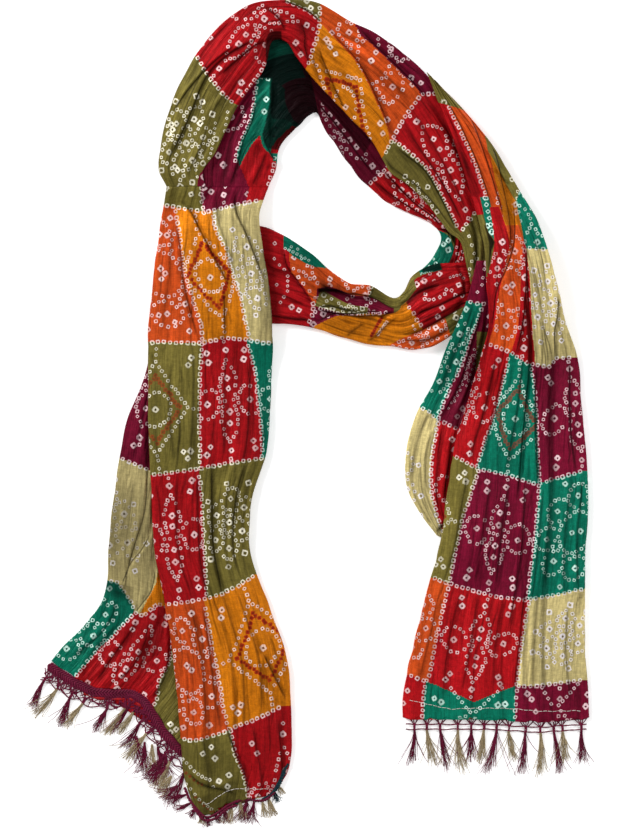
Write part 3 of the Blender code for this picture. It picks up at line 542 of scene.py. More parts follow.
LOWER_CREASES = table(Crease, [
    (((.10, .275), (.30, .285), (.45, .33), (.66, .39)), 1.8, 5.0, 1.5),
    (((.46, .385), (.34, .42), (.18, .49)), 2.2, 5.0, 1.5),
    (((.50, .39), (.38, .44), (.28, .49), (.21, .57)), -2.6, 3.2, 3.4),
    (((.66, .395), (.52, .455), (.42, .56)), 1.6, 3.0, 1.6),
    (((.58, .43), (.52, .50), (.46, .57)), -1.4, 1.3, 1.6),
    (((.71, .385), (.62, .47), (.55, .53), (.48, .60), (.42, .635), (.30, .66), (.20, .70)), 2.6, 3.6, 1.3),
    (((.40, .66), (.55, .55), (.70, .47), (.85, .43), (1.0, .39)), 1.6, 4.0, 1.5),
    (((.98, .57), (.75, .62), (.55, .65), (.32, .69)), 1.1, 3.0, 1.8),
    (((.98, .50), (.80, .53), (.62, .57)), 1.0, 3.0, 1.8),
    (((.19, .69), (.21, .74), (.25, .80), (.31, .88)), -2.6, 3.0, 2.6),
    (((.74, .71), (.735, .80), (.73, .88), (.69, .95)), -2.8, 1.8, 2.6),
    (((.42, .75), (.50, .86), (.48, .97)), 1.5, 5.0, 2.4),
    (((.60, .77), (.62, .86), (.60, .95)), 1.1, 4.0, 2.0),
    (((.77, .70), (.87, .79), (.85, .87)), 1.1, 3.0, 1.6),
    (((.0, .955), (.3, .962), (.62, .945)), -1.8, 1.8, 1.8),
    (((.30, .575), (.15, .59), (-.02, .605)), 1.3, 4.0, 1.5),
    (((.88, .20), (.90, .30), (.86, .38)), 1.4, 4.0, 2.4),
    (((.35, .20), (.38, .25), (.33, .30)), 1.2, 4.0, 1.8),
    (((.64, .20), (.66, .28), (.70, .36)), 1.0, 4.0, 1.8),
])
RIGHT_FRONT_CREASES = table(Crease, [
    (((.32, .03), (.30, .10), (.30, .15), (.24, .23)), 1.4, 4.0, 1.5),
    (((1.0, .05), (.75, .092), (.60, .13), (.47, .19), (.38, .25)), 2.0, 6.0, 1.5),
    (((1.02, .10), (.82, .148), (.68, .18), (.5, .235), (.33, .30)), 2.0, 4.5, 1.5),
    (((.60, .155), (.74, .165), (.88, .185)), -1.4, 1.6, 1.6),
    (((.02, .43), (.12, .36), (.30, .322), (.48, .285), (.66, .24), (.80, .21), (1.0, .188)), 2.2, 6.0, 1.4),
    (((.69, .26), (.58, .31), (.48, .36), (.38, .41), (.30, .46)), 2.0, 5.0, 1.4),
    (((.55, .48), (.545, .42), (.57, .37), (.63, .32), (.69, .265)), 2.4, 8.0, 1.6),
    (((1.0, .34), (.90, .385), (.80, .415), (.74, .46)), 2.4, 7.0, 1.3),
    (((.77, .425), (.735, .48), (.735, .55), (.74, .66), (.745, .76), (.74, .86)), -2.6, 2.6, 3.4),
    (((.47, .43), (.49, .50), (.495, .58), (.475, .68)), 2.0, 6.0, 1.3),
    (((.55, .45), (.575, .52), (.605, .58), (.63, .66)), 1.8, 4.5, 1.3),
    (((.38, .45), (.41, .53), (.38, .63)), 1.1, 5.0, 2.4),
    (((.525, .62), (.54, .70), (.55, .78), (.525, .88)), 1.4, 6.0, 1.3),
    (((.655, .64), (.66, .74), (.65, .84)), 1.1, 3.5, 1.6),
    (((.40, .63), (.38, .72), (.41, .81)), 1.2, 6.0, 2.6),
    (((.27, .63), (.25, .72), (.27, .81)), 1.0, 5.0, 2.6),
    (((.88, .44), (.865, .55), (.90, .64)), 1.3, 6.0, 2.6),
    (((.945, .62), (.92, .72), (.95, .82)), 1.2, 5.0, 2.0),
    (((.85, .63), (.835, .73), (.86, .83)), 1.0, 4.0, 2.0),
    (((.70, .79), (.705, .86), (.70, .97)), -1.7, 1.8, 1.8),
    (((.75, .80), (.755, .88), (.765, .97)), -1.7, 1.6, 2.2),
    (((.655, .82), (.65, .88), (.65, .98)), -1.2, 1.4, 1.6),
    (((.60, .79), (.605, .87), (.58, .97)), 1.3, 4.0, 1.4),
    (((.47, .80), (.46, .88), (.47, .97)), 0.9, 3.0, 1.8),
    (((.30, .80), (.31, .88), (.29, .97)), 1.1, 5.0, 2.4),
    (((.19, .80), (.18, .88), (.20, .98)), 1.0, 4.0, 2.0),
    (((.88, .82), (.87, .90), (.89, .98)), 1.1, 5.0, 2.4),
    (((.10, .62), (.08, .70), (.07, .79)), 1.1, 4.0, 2.0),
    (((.10, .44), (.125, .53), (.09, .62)), 1.2, 6.0, 2.6),
    (((.21, .45), (.225, .53), (.19, .61)), 1.0, 4.0, 2.0),
    (((.05, .79), (.06, .87), (.05, .96)), 1.0, 3.0, 2.0),
])
RIGHT_UNDER_CREASES = table(Crease, [
    (((.07, .12), (.08, .28), (.05, .50)), 1.0, 4.0, 2.4),
    (((.32, .13), (.285, .27), (.29, .40), (.25, .60)), 1.8, 5.0, 1.4),
    (((.18, .15), (.17, .30), (.19, .52)), 0.9, 4.0, 2.0),
    (((.42, .20), (.40, .36), (.42, .58)), 1.1, 3.0, 1.6),
    (((.125, .54), (.10, .62), (.085, .70), (.06, .82)), -1.6, 1.4, 2.0),
    (((.19, .60), (.17, .72), (.20, .86)), 1.0, 4.0, 2.0),
    (((.28, .58), (.31, .74), (.27, .92)), 1.2, 4.0, 1.8),
    (((.40, .60), (.43, .72), (.38, .88)), 1.4, 5.0, 1.6),
    (((.38, .92), (.20, .955), (.02, .98)), 1.4, 4.0, 1.6),
])
LEFT_UNDER_CREASES = table(Crease, [
    (((.06, .10), (.10, .20), (.08, .32)), 0.9, 4.0, 2.4),
    (((.18, .12), (.20, .24), (.22, .34)), 1.1, 4.0, 2.0),
    (((.11, .33), (.12, .45), (.10, .64)), 1.1, 5.0, 2.4),
    (((.25, .32), (.255, .44), (.20, .53), (.14, .62), (.12, .70)), 1.8, 6.0, 1.6),
    (((.30, .33), (.315, .42), (.33, .50)), 1.2, 3.5, 1.6),
    (((.12, .68), (.20, .60), (.30, .55), (.38, .49)), 1.6, 6.0, 1.6),
    (((.25, .75), (.31, .705), (.38, .66), (.42, .59)), 1.8, 5.0, 1.4),
    (((.06, .70), (.095, .80), (.06, .96)), 1.1, 4.0, 1.8),
    (((.27, .74), (.235, .86), (.25, 1.0)), 1.3, 4.5, 1.6),
    (((.34, .74), (.365, .86), (.34, .98)), 1.3, 4.0, 1.8),
    (((.455, .72), (.41, .82), (.43, .94)), -2.2, 2.4, 3.0),
    (((.50, .78), (.54, .89), (.555, 1.0)), 1.3, 4.0, 1.8),
    (((.14, .78), (.13, .90), (.15, 1.0)), 0.9, 3.0, 1.6),
])

# ---- painted shade that darkens the dye where cloth lies deep in a fold; below zero, painted gleam that brightens it ----
INNER_SHADES = table(Shade, [
    (.76, .46, .09, .15, .5), (.90, .37, .20, .03, .85), (.58, .91, .12, .02, .6), (.84, .90, .20, .05, .34),
])
ARCH_SHADES = table(Shade, [
    (.20, .0, .35, .035, .24), (.07, .15, .07, .08, -.30), (.22, .27, .13, .03, -.28),
    (.60, .56, .10, .05, -.25), (.30, .52, .14, .05, -.42), (.38, .72, .14, .05, -.20),
    (.96, .34, .22, .030, .95), (.80, .31, .16, .020, .55), (.56, .415, .22, .018, .6),
    (.14, .76, .02, .07, .4), (.84, .76, .08, .06, .25), (.40, .15, .05, .02, .4), (.60, .46, .3, .010, .35),
])
LOWER_SHADES = table(Shade, [
    (.33, .43, .12, .035, .95), (.25, .53, .08, .08, .55), (.24, .80, .05, .09, .75),
    (.73, .84, .03, .10, .85), (.50, .52, .03, .10, .5), (.70, .24, .6, .03, .45), (.06, .35, .14, .07, .42),
    (.50, .87, .16, .05, -.30), (.45, .25, .20, .03, -.22), (.10, .62, .2, .04, .5),
])
RIGHT_FRONT_SHADES = table(Shade, [
    (.50, .50, 6.0, 6.0, -.26), (.85, .36, .08, .09, -.42), (.24, .70, .16, .08, -.62),
    (.45, .72, .12, .06, -.30), (.02, .85, .08, .08, .36), (.82, .72, .05, .06, -.38),
    (.85, .88, .14, .07, .26), (.40, .36, .05, .06, -.42), (.07, .15, .10, .05, .85),
    (.01, .42, .03, .16, .7), (.50, .425, .030, .04, .85), (.745, .60, .018, .16, .70),
    (.735, .86, .010, .09, .38), (.762, .86, .008, .10, .62), (.67, .25, .04, .04, .5),
    (.74, .17, .12, .012, .55), (.52, .25, .10, .020, .4),
])
RIGHT_UNDER_SHADES = table(Shade, [
    (.50, .50, 6.0, 6.0, -.16), (.42, .36, .16, .22, .55), (.48, .80, .06, .20, .6),
])
LEFT_FRONT_SHADES = table(Shade, [
    (.15, .285, .13, .045, -.34), (.66, .485, .09, .02, -.36), (.64, .435, .12, .02, -.26),
    (.20, .075, .06, .05, -.25), (.25, .93, .2, .03, .25), (.70, .30, .06, .04, .22),
    (.60, .58, .02, .12, .5), (.98, .12, .05, .10, .35), (.96, .37, .07, .08, .35), (.76, .92, .12, .05, .26),
])
LEFT_UNDER_SHADES = table(Shade, [
    (.08, .47, .17, .12, .42), (.12, .50, .40, .20, .58), (.10, .69, .14, .02, .7), (.40, .84, .06, .13, .55),
    (.33, .58, .05, .12, .4),
])

# ---- painted shade, near black, over the insides of folds, between lines as in a chart ----
INNER_HOLLOWS = table(Hollow, [
    (edge((.1, .30), (.26, .285), (.40, .252), (.47, .246), (.56, .266), (.69, .217), (.76, .185),
     (.80, .175), (.90, .19), (1.1, .17)), .36, .40, 1.2, .975),
    (.275, .36, -.2, .42, .80),
    (edge((.56, .262), (.69, .215), (.765, .16), (.80, .125), (.90, .085), (1.1, .08)), .36, .5, 1.2, .88),
    (.12, .235, .82, .95, .93),
    (.34, .36, -.1, 1.2, .72),
    (.30, .615, .5, 1.2, .45),
    (.30, .56, .5, .83, .82),
    (.832, edge((.5, .88), (.72, .865), (.8, .85), (1, .835)), .64, 1.2, .9),
])
ARCH_HOLLOWS = table(Hollow, [
    (edge((.8, .345), (1.0, .30)), .372, .80, 1.2, .9),
])
LOWER_HOLLOWS = table(Hollow, [
    (.398, .68, edge((.39, .398), (.21, .472), (.145, .54), (.17, .617), (.19, .68)),
     edge((.47, .398), (.27, .472), (.19, .54), (.21, .617), (.215, .68)), .97),
    (.44, .62, .16, .30, .45),
    (.735, .875, edge((.165, .73), (.20, .80), (.27, .87)), edge((.24, .73), (.27, .80), (.31, .87)), .85),
    (.71, .93, .722, .752, .9),
    (.83, .905, -.3, edge((.04, .83), (.09, .88), (.10, .96)), .9),
    (.19, .235, -.1, 1.1, .35),
])
RIGHT_FRONT_HOLLOWS = table(Hollow, [
    (edge((-.3, .245), (.08, .248), (.10, .262), (.17, .277)), .335,
     edge((.055, .245), (.06, .28), (.01, .32)), edge((.17, .277), (.10, .29), (.02, .325)), .96),
    (edge((-.1, .09), (.20, .165)), edge((-.1, .20), (.10, .205), (.22, .19)), -.2, .17, .55),
    (.36, .46, edge((.47, .39), (.475, .46)), edge((.54, .37), (.535, .46)), .72),
    (edge((.42, .23), (.5, .205), (.6, .165), (.8, .12)),
     edge((.42, .249), (.695, .249), (.72, .235), (.8, .213)), .42, .80, .50),
])
RIGHT_UNDER_HOLLOWS = table(Hollow, [
    (.24, .60, .40, .56, .55),
    (.62, .92, edge((.48, .62), (.46, .80), (.36, .92)), .6, .55),
    (.15, .58, edge((.34, .15), (.26, .30), (.25, .58)), .42, .35),
])
LEFT_UNDER_HOLLOWS = table(Hollow, [
    (.66, edge((.0, .685), (.1, .69), (.2, .72)), -.1, .22, .55),
    (.66, .86, edge((.42, .66), (.40, .80)), edge((.50, .66), (.46, .86)), .5),
    (.43, .56, edge((.29, .43), (.24, .56)), edge((.36, .43), (.38, .50), (.32, .56)), .4),
])
LEFT_FRONT_HOLLOWS = table(Hollow, [
    (.10, .26, edge((.975, .10), (.955, .18), (.975, .26)), 1.2, .55),
    (edge((.1, .975), (.45, .965)), 1.1, .05, .52, .45),
])

STRETCHES = table(Stretch, [
    ("inner_arch", INNER_ARCH_EDGES, None, 2, ["arch", "right_end_front", "lower_loop"], 3,
     INNER_CHART, INNER_BORDERS, INNER_KNOTS, INNER_CREASES, INNER_SHADES, INNER_HOLLOWS),
    ("lower_loop", LOWER_LOOP_EDGES, None, 3,
     ["arch", "right_end_under", "right_end_front", "left_end_under", "left_end_front"], 5,
     LOWER_CHART, LOWER_BORDERS, LOWER_KNOTS, LOWER_CREASES, LOWER_SHADES, LOWER_HOLLOWS),
    ("arch", ARCH_EDGES, None, 3, ["right_end_under", "right_end_front"], 7,
     ARCH_CHART, ARCH_BORDERS, ARCH_KNOTS, ARCH_CREASES, ARCH_SHADES, ARCH_HOLLOWS),
    ("right_end_under", RIGHT_UNDER_EDGES, None, 1, ["right_end_front"], 11,
     RIGHT_UNDER_CHART, RIGHT_UNDER_BORDERS, RIGHT_UNDER_KNOTS,
     RIGHT_UNDER_CREASES, RIGHT_UNDER_SHADES, RIGHT_UNDER_HOLLOWS),
    ("right_end_front", RIGHT_FRONT_EDGES, Bow(-2.5, 0.72, 0.16, 0.16, 1.1, 13.0), 3, [], 13,
     RIGHT_FRONT_CHART, RIGHT_FRONT_BORDERS, RIGHT_FRONT_KNOTS,
     RIGHT_FRONT_CREASES, RIGHT_FRONT_SHADES, RIGHT_FRONT_HOLLOWS),
    ("left_end_under", LEFT_UNDER_EDGES, Bow(20.0, 0.49, 0.15, 0.22, 0.6, 9.0), 1, ["left_end_front"], 17,
     LEFT_UNDER_CHART, LEFT_UNDER_BORDERS, LEFT_UNDER_KNOTS,
     LEFT_UNDER_CREASES, LEFT_UNDER_SHADES, LEFT_UNDER_HOLLOWS),
    ("left_end_front", LEFT_FRONT_EDGES, Bow(-9.0, 0.14, 0.12, 0.2, 0.8, 7.0), 3, [], 19,
     LEFT_FRONT_CHART, LEFT_FRONT_BORDERS, LEFT_FRONT_KNOTS,
     LEFT_FRONT_CREASES, LEFT_FRONT_SHADES, LEFT_FRONT_HOLLOWS),
])


# ---- reading the construction ----
def tree_of(names):
    """A search tree over the faces of some nodes, in metres."""
    return tree_of_meshes([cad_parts[name].data for name in names])


def tree_of_meshes(meshes):
    """One search tree over the faces of some meshes."""
    points, faces = [], []
    for mesh in meshes:
        base = len(points)
        points += [tuple(v.co) for v in mesh.vertices]
        faces += [tuple(base + i for i in p.vertices) for p in mesh.polygons]
    return BVHTree.FromPolygons(points, faces)


def cast(tree, x, y, start, up):
    """The height that a vertical ray meets, in millimetres, at each point; nan where it meets nothing."""
    heights = np.full(x.shape, np.nan)
    direction = (0, 0, 1 if up else -1)
    start = np.broadcast_to(start, x.shape)
    for place in np.ndindex(x.shape):
        origin = (x[place] * MM, y[place] * MM, start[place] * MM)
        hit = tree.ray_cast(origin, direction)[0]
        if hit is not None:
            heights[place] = hit.z / MM
    return heights


def catmull_rom(points, at):
    """Read the curve through points, a row each, at the row numbers in at."""
    points = np.asarray(points, float)
    last = len(points) - 1
    first_ghost = 2 * points[0] - points[1]
    last_ghost = 2 * points[last] - points[last - 1]
    ghosts = np.vstack([first_ghost, points, last_ghost])
    k = np.clip(np.floor(at).astype(int), 0, last - 1)
    t = (np.asarray(at, float) - k)[:, None]
    a, b, c, d = ghosts[k], ghosts[k + 1], ghosts[k + 2], ghosts[k + 3]
    return 0.5 * (2 * b + (c - a) * t + (2 * a - 5 * b + 4 * c - d) * t**2 + (3 * b - a - 3 * c + d) * t**3)


def bell(distance):
    return np.exp(-distance * distance)


def walked_along(x, y):
    """How far each point of a line lies along it."""
    return np.concatenate([[0], np.cumsum(np.hypot(np.diff(x), np.diff(y)))])


class Lay:
    """Where a stretch lies: shares across and along it, turned into places on the floor."""

    STEPS = 800
    BOW_ONSET, SCALLOP_ONSET = 6, 90  # powers of the share along: the end's bow sets in before its scallops

    def __init__(self, stretch):
        self.bow = stretch.bow
        fine = catmull_rom(stretch.sections, np.linspace(0, len(stretch.sections) - 1, self.STEPS))
        middle = (fine[:, 0:2] + fine[:, 2:4]) / 2
        walked = walked_along(middle[:, 0], middle[:, 1])
        self.length = walked[-1]
        self.along = walked / walked[-1]
        self.fine = fine

    def section(self, along):
        """The places of the left and the right edge: left x, left y, right x and right y."""
        return [np.interp(along, self.along, self.fine[:, i]) for i in range(4)]

    def at(self, across, along):
        """The place of a share across and a share along, with the bow and the scallops of the end."""
        across, along = np.broadcast_arrays(np.asarray(across, float), np.asarray(along, float))
        left_x, left_y, right_x, right_y = self.section(np.clip(along, 0, 1))
        side_x, side_y = right_x - left_x, right_y - left_y
        width = np.hypot(side_x, side_y)
        shift = np.zeros_like(across)
        if self.bow:
            reach = np.clip(along, 0, 1)
            off = across - self.bow.middle
            shift = self.bow.depth * bell(off / np.where(off < 0, self.bow.before, self.bow.after))
            scallops = self.bow.scallop * np.cos(2 * math.pi * self.bow.count * across)
            shift = shift * reach**self.BOW_ONSET + scallops * reach**self.SCALLOP_ONSET
        x = left_x + across * side_x - shift * side_y / width
        y = left_y + across * side_y + shift * side_x / width
        return x, y

    def width(self, along):
        left_x, left_y, right_x, right_y = self.section(along)
        return np.hypot(right_x - left_x, right_y - left_y)


# ---- the form of one stretch ----
CREASE_STEPS = 6  # of its fine path, between two points of the table
CREASE_END = 0.18  # a crease fades over this share of its path at each end
FULL_SHADE_HEIGHT = 1.5  # a crease this high or deep gets its darkest painted shade
FOOT_PLACE, FOOT_SIZE, FOOT_DEPTH = 2.2, 1.3, 0.3  # the dip past a steep side, in sizes of that side
SHADE_PLACE, SHADE_SIZE, LEAST_SHADE_SIZE = 1.25, 0.5, 0.75  # the painted dark line at its foot
STEEP_SHADE, GROOVE_SHADE = 0.95, 0.6  # how dark the painted shade of each kind gets

Crinkle = namedtuple("Crinkle", "reach half height")  # the least and the most of each
COARSE_SHARE = 0.16
COARSE = Crinkle((45, 120), (2.4, 4.2), (0.35, 0.8))
FINE = Crinkle((14, 70), (0.9, 2.2), (0.15, 0.6))
CRINKLE_TILT, CRINKLE_SHARPNESS = 0.035, 1.4
CRINKLE_AREA, FOLD_AREA = 170.0, 420.0  # square millimetres of cloth to each of them
FOLD_REACH, FOLD_TILT, FOLD_HEIGHT, FOLD_SHADE = (18, 60), 0.02, (0.2, 0.6), (0.2, 0.8)
FOLD_LIP, LIP_SIZE, FOLD_SIZE, FOLD_SHADE_SIZE = 1.5, 1.3, 0.9, 0.7  # across a pressed fold, in millimetres

CRINKLE_WAVE, FOLD_WAVE = (0.01, 5, 7), (0.006, 6, 9)  # its size, a share of the width, and its two phases
FOLD_SEED, DOT_SEED = 50, 100  # over the seed of the stretch
WAVE_START = (0, 6)  # in radians

NOSE_WAVES, NOSE_WAVE_LENGTHS, NOSE_WAVE_HEIGHTS = 4, (22, 120), (0.3, 1)
NOSE_MIDDLE, NOSE_SWING = 0.45, 0.2  # of how far a layer stands out, and how much the waves add
NOSE_START = 14.0  # the layers begin to stand out over this distance
LAYER_TURNS = (-80, -45, 0, 45, 80)  # the points round a folded layer, in degrees
TOP_LAYER_TURNS = (-80, -45, 0, 35, 62)  # these stop where the face begins
EDGE_WALK = 0.8  # how much of the height of an edge counts as width of the cloth

VALLEY_SIZE, VALLEY_SHADE, MOST_VALLEY_SHADE = 2.2, 1.1, 0.45  # small valleys get a little painted shade


def grid_shares(rows, columns):
    """Shares across and along at each point of a grid over the top or the underside of a stretch."""
    across = np.linspace(CORNER, 1 - CORNER, columns)[None, :] * np.ones((rows, 1))
    return across, shares_along(rows, columns)


def shares_along(rows, columns):
    return np.linspace(0, 1, rows)[:, None] * np.ones((1, columns))


def blurred(grid, sigma_rows, sigma_columns):
    """A grid of heights smoothed down its columns and along its rows."""
    for axis, sigma in ((0, sigma_rows), (1, sigma_columns)):
        reach = max(1, int(3 * sigma))
        weights = bell(np.arange(-reach, reach + 1) / (sigma * math.sqrt(2)))
        weights /= weights.sum()
        pad = [(0, 0), (0, 0)]
        pad[axis] = (reach, reach)
        padded = np.pad(grid, pad, mode="reflect", reflect_type="odd")
        grid = np.apply_along_axis(lambda line: np.convolve(line, weights, mode="valid"), axis, padded)
    return grid


def filled(grid):
    """Give each missing height the nearest known one in its row."""
    for row in grid:
        known = np.flatnonzero(~np.isnan(row))
        if len(known):
            row[:] = np.interp(np.arange(len(row)), known, row[known])
    return grid


def fade(share, reach):
    """From 0 to 1 over the reach, starting and ending gently."""
    t = np.clip(share / reach, 0, 1)
    return t * t * (3 - 2 * t)


def crease_form(crease, places, lay):
    """The height of one crease over a grid of places, soft to one side of its path and steep to the other.

    It also gives the painted shade: a dark line at the steep foot, and darkness in the bottom of a groove.
    """
    path = np.array(crease.path, float)
    fine = catmull_rom(path, np.linspace(0, len(path) - 1, CREASE_STEPS * (len(path) - 1) + 1))
    fine = np.stack([(fine[:, 0] - 0.5) * lay.width(fine[:, 1]), fine[:, 1] * lay.length], axis=1)
    walked = walked_along(fine[:, 0], fine[:, 1])
    height, shade = np.zeros(places.shape[:2]), np.zeros(places.shape[:2])
    lowest, highest = fine[:, 1].min() - CREASE_REACH, fine[:, 1].max() + CREASE_REACH
    rows = np.flatnonzero((places[:, 0, 1] > lowest) & (places[:, 0, 1] < highest))
    part = places[rows[0]:rows[-1] + 1]
    nearest = np.full(part.shape[:2], np.inf)
    signed, share = np.zeros(part.shape[:2]), np.zeros(part.shape[:2])
    for number in range(len(fine) - 1):
        start, step = fine[number], fine[number + 1] - fine[number]
        size = np.hypot(*step)
        offset = part - start
        t = np.clip((offset @ step) / size**2, 0, 1)
        gap = offset - t[..., None] * step
        distance = np.hypot(gap[..., 0], gap[..., 1])
        closer = distance < nearest
        side = np.where(offset[..., 0] * step[1] - offset[..., 1] * step[0] > 0, 1, -1)
        nearest = np.where(closer, distance, nearest)
        signed = np.where(closer, side * distance, signed)
        share = np.where(closer, (walked[number] + t * size) / walked[-1], share)
    soft, steep = crease.soft_side, crease.steep_side
    profile = bell(signed / np.where(signed < 0, soft, steep))
    dark = np.clip(abs(crease.height) / FULL_SHADE_HEIGHT, 0, 1)
    if crease.height > 0:
        foot = np.where(signed > 0, bell((signed - FOOT_PLACE * steep) / (FOOT_SIZE * steep)), 0)
        profile = profile - FOOT_DEPTH * foot
        shade_size = max(SHADE_SIZE * steep, LEAST_SHADE_SIZE)
        dark = dark * STEEP_SHADE * np.where(signed > 0, bell((signed - SHADE_PLACE * steep) / shade_size), 0)
    else:
        dark = dark * GROOVE_SHADE * profile
    ends = fade(share, CREASE_END) * fade(1 - share, CREASE_END)
    height[rows[0]:rows[-1] + 1] = crease.height * profile * ends
    shade[rows[0]:rows[-1] + 1] = dark * ends
    return height, shade


def rows_near(along, centre, reach):
    """The rows that a fold reaches, with how far along it each lies, from -1 to 1; or nothing."""
    rows = np.flatnonzero(np.abs(along[:, 0] - centre) < reach)
    if not len(rows):
        return None, None
    part = slice(rows[0], rows[-1] + 1)
    return part, (along[part] - centre) / reach


def swayed(wave, t, centre):
    """How far a fold sways to the side, as a share of the width."""
    size, along, across = wave
    return size * np.sin(along * t + across * centre)


def crinkles(rng, across, along, width, length):
    """Many fine crinkles that run along the cloth, each of its own length, width and height."""
    total = np.zeros_like(across)
    for _ in range(int(width.mean() * length / CRINKLE_AREA)):
        crinkle = COARSE if rng.random() < COARSE_SHARE else FINE
        reach = rng.uniform(*crinkle.reach) / length
        centre_along, centre = rng.uniform(0, 1), rng.uniform(0, 1)
        tilt = rng.normal(0, CRINKLE_TILT)
        half = rng.uniform(*crinkle.half)
        height = rng.uniform(*crinkle.height) * rng.choice([-1, 1], p=[0.5, 0.5])
        part, t = rows_near(along, centre_along, reach)
        if part is None:
            continue
        line = centre + tilt * t + swayed(CRINKLE_WAVE, t, centre)
        distance = (across[part] - line) * width[part]
        total[part] += height * np.exp(-np.abs(distance / half) ** CRINKLE_SHARPNESS) * (1 - t * t) ** 2
    return total


def fine_folds(rng, across, along, width, length):
    """Thin pressed folds that run along the cloth: their height, and the painted shade in them."""
    height, shade = np.zeros_like(across), np.zeros_like(across)
    for _ in range(int(width.mean() * length / FOLD_AREA)):
        reach = rng.uniform(*FOLD_REACH) / length
        centre_along, centre, tilt = rng.uniform(0, 1), rng.uniform(0, 1), rng.normal(0, FOLD_TILT)
        depth, dark = rng.uniform(*FOLD_HEIGHT), rng.uniform(*FOLD_SHADE)
        part, t = rows_near(along, centre_along, reach)
        if part is None:
            continue
        distance = (across[part] - centre - tilt * t - swayed(FOLD_WAVE, t, centre)) * width[part]
        ends = (1 - t * t) ** 2
        height[part] += depth * ends * (bell((distance - FOLD_LIP) / LIP_SIZE) - bell(distance / FOLD_SIZE))
        shade[part] = np.maximum(shade[part], dark * ends * bell(distance / FOLD_SHADE_SIZE))
    return height, shade


def nose_depths(rng, rows, length, layers):
    """How far each folded layer stands out along an edge."""
    along = np.linspace(0, length, rows)
    depths = []
    for _ in range(layers):
        waves = 0
        for _ in range(NOSE_WAVES):
            height, pitch = rng.uniform(*NOSE_WAVE_HEIGHTS), rng.uniform(*NOSE_WAVE_LENGTHS)
            start = rng.uniform(*WAVE_START)
            waves = waves + height * np.sin(along * 2 * math.pi / pitch + start)
        depths.append(NOSE * (NOSE_MIDDLE + NOSE_SWING * waves) * fade(along, NOSE_START))
    return depths


def edge_ring(lay, along, side, low, high, depths):
    """The rounded layers at one edge, from the underside up, as arrays of x, y, z and share across."""
    edge_x, edge_y = lay.at(np.full_like(along, side), along)
    inner_x, inner_y = lay.at(np.full_like(along, 0.5), along)
    out_x, out_y = edge_x - inner_x, edge_y - inner_y
    size = np.hypot(out_x, out_y)
    out_x, out_y = out_x / size, out_y / size
    width, outward = lay.width(along), 1 if side else -1
    thick = (high - low) / len(depths)
    columns = []
    for layer, depth in enumerate(depths):
        is_top = layer == len(depths) - 1
        for turn in TOP_LAYER_TURNS if is_top else LAYER_TURNS:
            angle = math.radians(turn)
            out = -NOTCH + (depth + NOTCH) * math.cos(angle)
            z = low + thick * (layer + 0.5 + 0.5 * math.sin(angle))
            walked = out + EDGE_WALK * (high - z)
            share = side + outward * np.maximum(walked, 0) / width
            columns.append((edge_x + out * out_x, edge_y + out * out_y, z, share))
    return columns


def all_folds(stretch, lay, rng, across, along):
    """The height of every crinkle, fold and crease over the face, and the painted shade that they give the
    cloth.
    """
    width = lay.width(along)
    places = np.stack([(across - 0.5) * width, along * lay.length], axis=-1)
    folds, dark = crinkles(rng, across, along, width, lay.length), np.zeros_like(across)
    made = [fine_folds(np.random.default_rng(stretch.seed + FOLD_SEED), across, along, width, lay.length)]
    made += [crease_form(crease, places, lay) for crease in stretch.creases]
    for height, shade in made:
        folds, dark = folds + height, np.maximum(dark, shade)
    return folds, dark


def stretch_form(stretch, lay, seam):
    """The rings of the fine closed shell as x, y, z and share across, and the painted shade at each of their
    points.

    Where seam is given, it is a search tree over the cloth that this stretch goes on from.
    """
    rng = np.random.default_rng(stretch.seed)
    rows = int(lay.length / FACE) + 1
    columns = min(int(lay.width(lay.along).max() / FACE) + 1, MOST_COLUMNS)
    across, along = grid_shares(rows, columns)
    x, y = lay.at(across, along)
    solid = tree_of([stretch.name])
    column_gap = (lay.width(along)[:, 0].mean() * (1 - 2 * CORNER)) / columns
    top = blurred(filled(cast(solid, x, y, ABOVE_ALL, False)), SMOOTH / FACE, SMOOTH / column_gap)
    folds, dark = all_folds(stretch, lay, rng, across, along)
    shape = top + folds
    if seam is not None:
        y[0] += SEAM_TUCK
        share = fade(1 - along * lay.length / SEAM_BLEND, 1.0)
        start = filled(cast(seam, x[:1], y[:1], ABOVE_ALL, False))[0] - SEAM_DROP
        shape = shape + (start - shape[0])[None, :] * share
    if stretch.under_these:
        over = cast(tree_of(stretch.under_these), x, y, shape - RAY_START, True)
        shape = np.minimum(shape, np.where(np.isnan(over), np.inf, over - CLEAR))
    low_across, low_along = grid_shares(rows, LOW_COLUMNS)
    low_x, low_y = lay.at(low_across, low_along)
    low = filled(cast(solid, low_x, low_y, BELOW_ALL, True))
    below = np.stack([np.interp(across[i], low_across[i], low[i]) for i in range(rows)])
    shape = np.maximum(shape, LEAST_THICK + below)
    line = along[:, 0]
    right, left = (edge_ring(lay, line, side, low[:, column], shape[:, column],
                             nose_depths(rng, rows, lay.length, stretch.layers))
                   for side, column in ((1.0, -1), (0.0, 0)))
    points = [(low_x[:, i], low_y[:, i], low[:, i], low_across[:, i]) for i in range(LOW_COLUMNS)]
    points += right
    points += [(x[:, i], y[:, i], shape[:, i], across[:, i]) for i in reversed(range(columns))]
    points += left[::-1]
    # painted shade in small valleys, and at the feet of creases and folds
    valleys = blurred(folds, VALLEY_SIZE / FACE, VALLEY_SIZE / column_gap) - folds
    valleys = np.clip(np.clip(valleys, 0, 1) * VALLEY_SHADE, 0, MOST_VALLEY_SHADE)
    deep = np.zeros((rows, len(points)))
    first_top = LOW_COLUMNS + len(right)
    deep[:, first_top:first_top + columns] = np.maximum(valleys, dark)[:, ::-1]
    return np.array(points).transpose(2, 0, 1), deep


